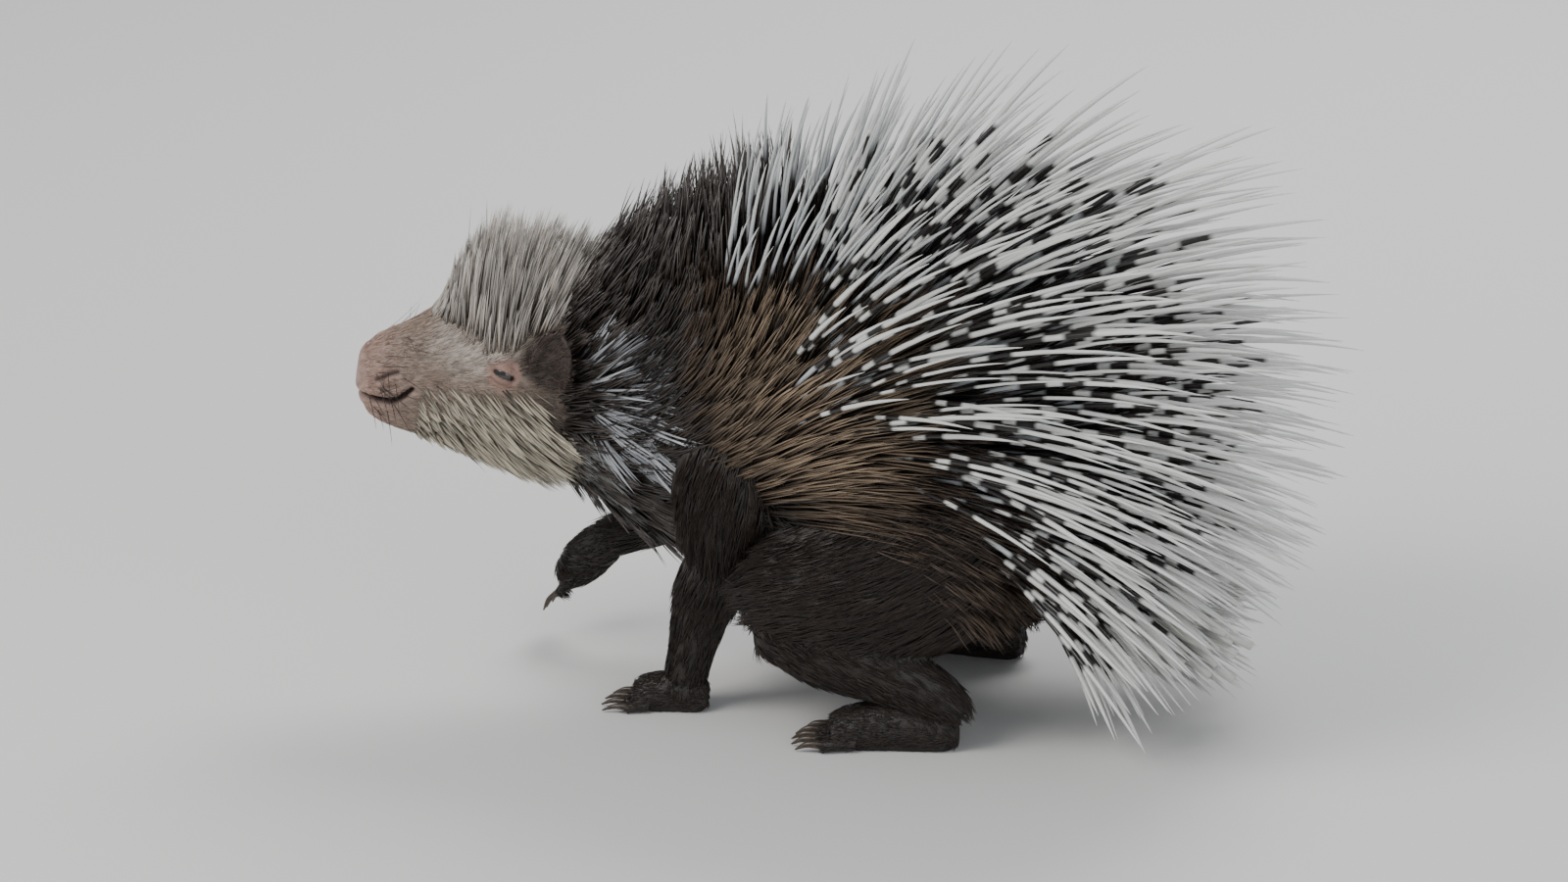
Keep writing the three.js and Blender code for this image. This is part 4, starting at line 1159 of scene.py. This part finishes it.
def buildMarkings():
    group = bpy.data.node_groups.new("markings", "ShaderNodeTree")
    group.interface.new_socket("Tone", in_out="OUTPUT", socket_type="NodeSocketColor")
    place = node(group, "TexCoord").outputs["Object"]
    noise = node(group, "TexNoise", Vector=place, Scale=60.0, Detail=3.0).outputs["Color"]
    moved = node(group, "VectorMath", operation="MULTIPLY_ADD")
    for socket, value in zip(moved.inputs, (noise, (tones["spread"] / 1000,) * 3, place)):
        feed(group, value, socket)
    tone = tones["dark"]
    for centre, outer, inner, patchTone in tones["patches"].values():
        for side in (1, -1) if centre[1] else (1,):
            middle = fromHead(centre * np.array([1, side, 1])) + tones["spread"] / 2
            mask = ballMask(group, moved.outputs[0], middle, outer, inner)
            tone = colourMix(group, mask, tone, patchTone)
    group.links.new(tone, group.nodes.new("NodeGroupOutput").inputs["Tone"])
    return group


markings = buildMarkings()


def markingsNode(tree):
    return node(tree, "Group", node_tree=markings).outputs["Tone"]


skinLooks = {
    "pores": 900.0, "wrinkles": 240.0, "eyeRim": (14.5, 9.8), "eyeTone": (0.27, 0.165, 0.13),
    # The crease tone is painted shade for the grooves, the nostrils and the eye slits.
    "paintedCreaseShade": (0.012, 0.006, 0.005),
}


def skinMaterial():
    material, tree, place = newMaterial("wetSkin")
    s = skinLooks
    pores = node(tree, "TexVoronoi", Vector=place, Scale=s["pores"]).outputs["Distance"]
    wrinkles = node(tree, "TexNoise", Vector=place, Scale=s["wrinkles"], Detail=5.0, Roughness=0.6)
    wrinkles = wrinkles.outputs["Fac"]
    mottle = ramp(tree, wrinkles, [(0.3, grey(0.55)), (0.7, grey(1.25))])
    tone = colourMix(tree, 1.0, markingsNode(tree), mottle, "MULTIPLY")
    for sign in (-1, 1):
        mask = ballMask(tree, place, fromHead(eyeCentre(sign)), *s["eyeRim"])
        tone = colourMix(tree, mask, tone, s["eyeTone"])
    # Painted shade: near black laid into the mouth, the nostrils, the folds and the eye slits.
    tone = colourMix(tree, attribute(tree, "crease"), tone, s["paintedCreaseShade"])
    height = number(tree, "ADD", wrinkles, number(tree, "MULTIPLY", pores, 0.5))
    rough = ramp(tree, wrinkles, [(0.3, grey(0.34)), (0.7, grey(0.56))])
    relief = bumpOf(tree, height, 0.55, 0.0012)
    return finishMaterial(material, Base_Color=tone, Roughness=rough, Normal=relief)


def coatMaterial(name, stops, roughness, variation, patch=None):
    material, tree, place = newMaterial(name)
    along, tone = attribute(tree, "along"), attribute(tree, "tone")
    if stops:
        base = ramp(tree, along, stops)
    else:
        paler = ramp(tree, along, [(0, grey(0.75)), (0.5, grey(1.0)), (1, grey(1.9))])
        base = colourMix(tree, 1.0, markingsNode(tree), paler, "MULTIPLY")
    for side in (-1, 1) if patch else ():
        middle = patch["centre"] * np.array([1, side, 1])
        mask = ballMask(tree, place, middle, patch["outer"], patch["inner"])
        base = colourMix(tree, mask, base, ramp(tree, along, patch["stops"]))
    vary = ramp(tree, tone, [(0, grey(variation[0])), (1, grey(variation[1], 0.03))])
    base = colourMix(tree, 1.0, base, vary, "MULTIPLY")
    relief = bumpOf(tree, noiseOn(tree, place, 1400.0), 0.3)
    return finishMaterial(material, Base_Color=base, Roughness=roughness, Normal=relief)


# Bands of the quills follow the share along each one; each of the sixteen styles shifts them.
def quillMaterial(name, stops):
    material, tree, place = newMaterial(name)
    along, tone = attribute(tree, "along"), attribute(tree, "tone")
    style = number(tree, "FLOOR", number(tree, "MULTIPLY", tone, float(quillShape["strips"])))
    chance = node(tree, "TexWhiteNoise", noise_dimensions="1D", W=style).outputs["Value"]
    moved = number(tree, "MULTIPLY", number(tree, "SUBTRACT", chance, 0.5), 0.2)
    base = ramp(tree, number(tree, "ADD", along, moved), stops)
    relief = bumpOf(tree, noiseOn(tree, place, 900.0), 0.15)
    return finishMaterial(material, Base_Color=base, Roughness=0.3, Coat_Weight=0.35,
                          Coat_Roughness=0.12, Normal=relief)


def hornMaterial(name, scale, detail, shades, relief, **finish):
    material, tree, place = newMaterial(name)
    noise = noiseOn(tree, place, scale, detail)
    if relief:
        finish["Normal"] = bumpOf(tree, noise, relief)
    tone = ramp(tree, noise, list(zip((0.3, 0.7), shades)))
    return finishMaterial(material, Base_Color=tone, **finish)


def dress(obj, material):
    obj.data.materials.clear()
    obj.data.materials.append(material)


black, brown = (0.012, 0.009, 0.008), (0.05, 0.03, 0.02)
pale, white = (0.5, 0.52, 0.53), (0.72, 0.72, 0.69)
cream, umber = (0.55, 0.49, 0.39), (0.04, 0.035, 0.03)
bands = [(0, brown), (0.06, brown), (0.12, pale), (0.26, pale), (0.285, black), (0.4, black),
         (0.42, white), (0.47, white), (0.49, black), (0.575, black), (0.6, white), (1, white)]
darkBands = [(0, black), (0.42, black), (0.52, pale), (1, white)]
# Tan tips on both shoulders: partly the coat's own tan tips and partly a painted highlight of sunlit
# wet hair.
shoulderPatch = {
    "centre": np.array([-14, 95, 224]), "outer": 108, "inner": 30,
    "stops": [(0, black), (0.35, (0.056, 0.039, 0.027)), (1, (0.37, 0.285, 0.2))],
}

# For each piece its material, slot and roughness, how light its hairs vary, and the tones along them.
coatLooks = {
    "napeMane": ("napeHair", "coat", 0.34, (0.4, 1.6),
                 [(0, black), (0.6, (0.03, 0.022, 0.018)), (1, (0.17, 0.155, 0.15))]),
    "neckCoat": ("neckHair", "coat", 0.34, (0.4, 1.6),
                 [(0, black), (0.6, (0.026, 0.019, 0.015)), (1, (0.13, 0.115, 0.11))]),
    "backBristles": ("backBristle", "coat", 0.38, (0.6, 1.5), [(0, black), (0.7, black), (1, brown)]),
    "shoulderCoat": ("shoulderBristle", "coat", 0.34, (0.4, 1.7),
                     [(0, black), (0.4, (0.02, 0.014, 0.01)), (1, (0.075, 0.048, 0.032))]),
    "flankCoat": ("flankBristle", "coat", 0.34, (0.4, 1.6),
                  [(0, black), (0.6, (0.03, 0.02, 0.014)), (1, (0.1, 0.07, 0.05))]),
    "ruff": ("ruffBristle", "ruff", 0.32, (0.3, 1.15),
             [(0, umber), (0.3, (0.36, 0.38, 0.41)), (1, (0.66, 0.69, 0.74))]),
    "crest": ("crestHair", "ruff", 0.34, (0.22, 1.2),
              [(0, (0.1, 0.08, 0.065)), (0.22, (0.46, 0.41, 0.36)), (1, (0.8, 0.76, 0.71))]),
    "beard": ("beardHair", "ruff", 0.36, (0.16, 1.2),
              [(0, (0.07, 0.05, 0.035)), (0.3, cream), (1, (0.82, 0.76, 0.62))]),
    "throatBeard": ("throatHair", "ruff", 0.36, (0.25, 1.1),
                    [(0, umber), (0.45, (0.26, 0.26, 0.25)), (1, (0.46, 0.48, 0.49))]),
    "tailQuills": ("tailQuill", "quills", 0.34, (0.7, 1.05),
                   [(0, (0.3, 0.29, 0.27)), (0.2, pale), (1, white)]),
    "rattleQuills": ("rattleQuill", "quills", 0.34, (0.8, 1.0), [(0, pale), (0.5, white), (1, white)]),
    "whiskers": ("whisker", "coat", 0.3, (0.6, 1.5), [(0, black), (1, (0.05, 0.04, 0.035))]),
}

print("materials")
dress(skin, skinMaterial())
dress(grown["backQuills"], quillMaterial("bandedQuill", bands))
dress(grown["shoulderQuills"], quillMaterial("shoulderQuill", darkBands))
for name, (look, slot, roughness, variation, stops) in coatLooks.items():
    patch = shoulderPatch if name == "shoulderCoat" else None
    dress(grown[name], coatMaterial(look, stops, roughness, variation, patch))
shortLook = coatMaterial("shortFur", None, 0.45, (0.6, 1.5))
for name in shortStyles:
    dress(grown[name], shortLook)

eyeShades = [(0.006, 0.004, 0.003), (0.014, 0.009, 0.007)]
eyeGloss = {"Roughness": 0.06, "Coat_Weight": 1.0, "Coat_Roughness": 0.02}
clawShades = [(0.02, 0.014, 0.01), (0.09, 0.065, 0.045)]
eyeLook = hornMaterial("eyeball", 300.0, 2.0, eyeShades, 0, **eyeGloss)
for eye in eyes:
    eye.data.materials.append(eyeLook)
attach(claws, "root")
dress(claws, hornMaterial("clawHorn", 400.0, 4.0, clawShades, 0.2, Roughness=0.32))

fleshNodes = [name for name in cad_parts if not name.endswith("_eye")]
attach(skin, "root")
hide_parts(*fleshNodes)

# Floor, lights and camera
view = {"azimuth": 15, "elevation": 18, "distance": 5000, "aim": (-65.9, 159.1, -60), "width": 975.6}
floorLook = bpy.data.materials.new("paleFloor")
floorLook.use_nodes = True
finishMaterial(floorLook, Base_Color=(0.74, 0.73, 0.71), Roughness=0.85)
bpy.ops.mesh.primitive_plane_add(size=14, location=(0, 2.5, 0))
floor = bpy.context.object
floor.name = "paleFloorSheet"
floor.data.materials.append(floorLook)

azimuth, elevation = math.radians(view["azimuth"]), math.radians(view["elevation"])
right = np.array([math.cos(azimuth), math.sin(azimuth), 0])
away = np.array([-math.sin(azimuth), math.cos(azimuth), 0])
upward = math.sin(elevation) * away + np.array([0, 0, math.cos(elevation)])
forward = math.cos(elevation) * away - np.array([0, 0, math.sin(elevation)])
aim = np.array(view["aim"]) @ np.array([right, upward, forward])
cameraPlace = metres(aim - forward * view["distance"])
camera = bpy.data.objects.new("camera", bpy.data.cameras.new("camera"))
bpy.context.collection.objects.link(camera)
rotation = Matrix([[right[i], upward[i], -forward[i]] for i in range(3)])
camera.matrix_world = Matrix.Translation(Vector(cameraPlace)) @ rotation.to_4x4()
camera.data.sensor_width = 36
camera.data.lens = 36 * view["distance"] / view["width"]
camera.data.clip_end = 50
bpy.context.scene.camera = camera

lightAim = (0, 0, 0.18)
lights = {
    "keyLight": {"place": (-1.6, -1.8, 2.4), "power": 62, "size": 1.6, "tone": (1, 0.98, 0.95)},
    "fillLight": {"place": (1.8, -1.9, 1.1), "power": 22, "size": 2.2, "tone": (0.93, 0.96, 1)},
    "rimLight": {"place": (0.4, 1.9, 2.2), "power": 46, "size": 1.4, "tone": (1, 1, 1)},
}
for name, s in lights.items():
    light = bpy.data.objects.new(name, bpy.data.lights.new(name, "AREA"))
    light.data.energy, light.data.size, light.data.color = s["power"], s["size"], s["tone"]
    light.location = s["place"]
    beam = Vector(lightAim) - Vector(s["place"])
    light.rotation_euler = beam.to_track_quat("-Z", "Y").to_euler()
    bpy.context.collection.objects.link(light)
world = bpy.data.worlds.new("studio")
bpy.context.scene.world = world
world.use_nodes = True
sky = {"Color": (0.82, 0.86, 0.92), "Strength": 0.55}
setUp(world.node_tree, world.node_tree.nodes["Background"], sky)
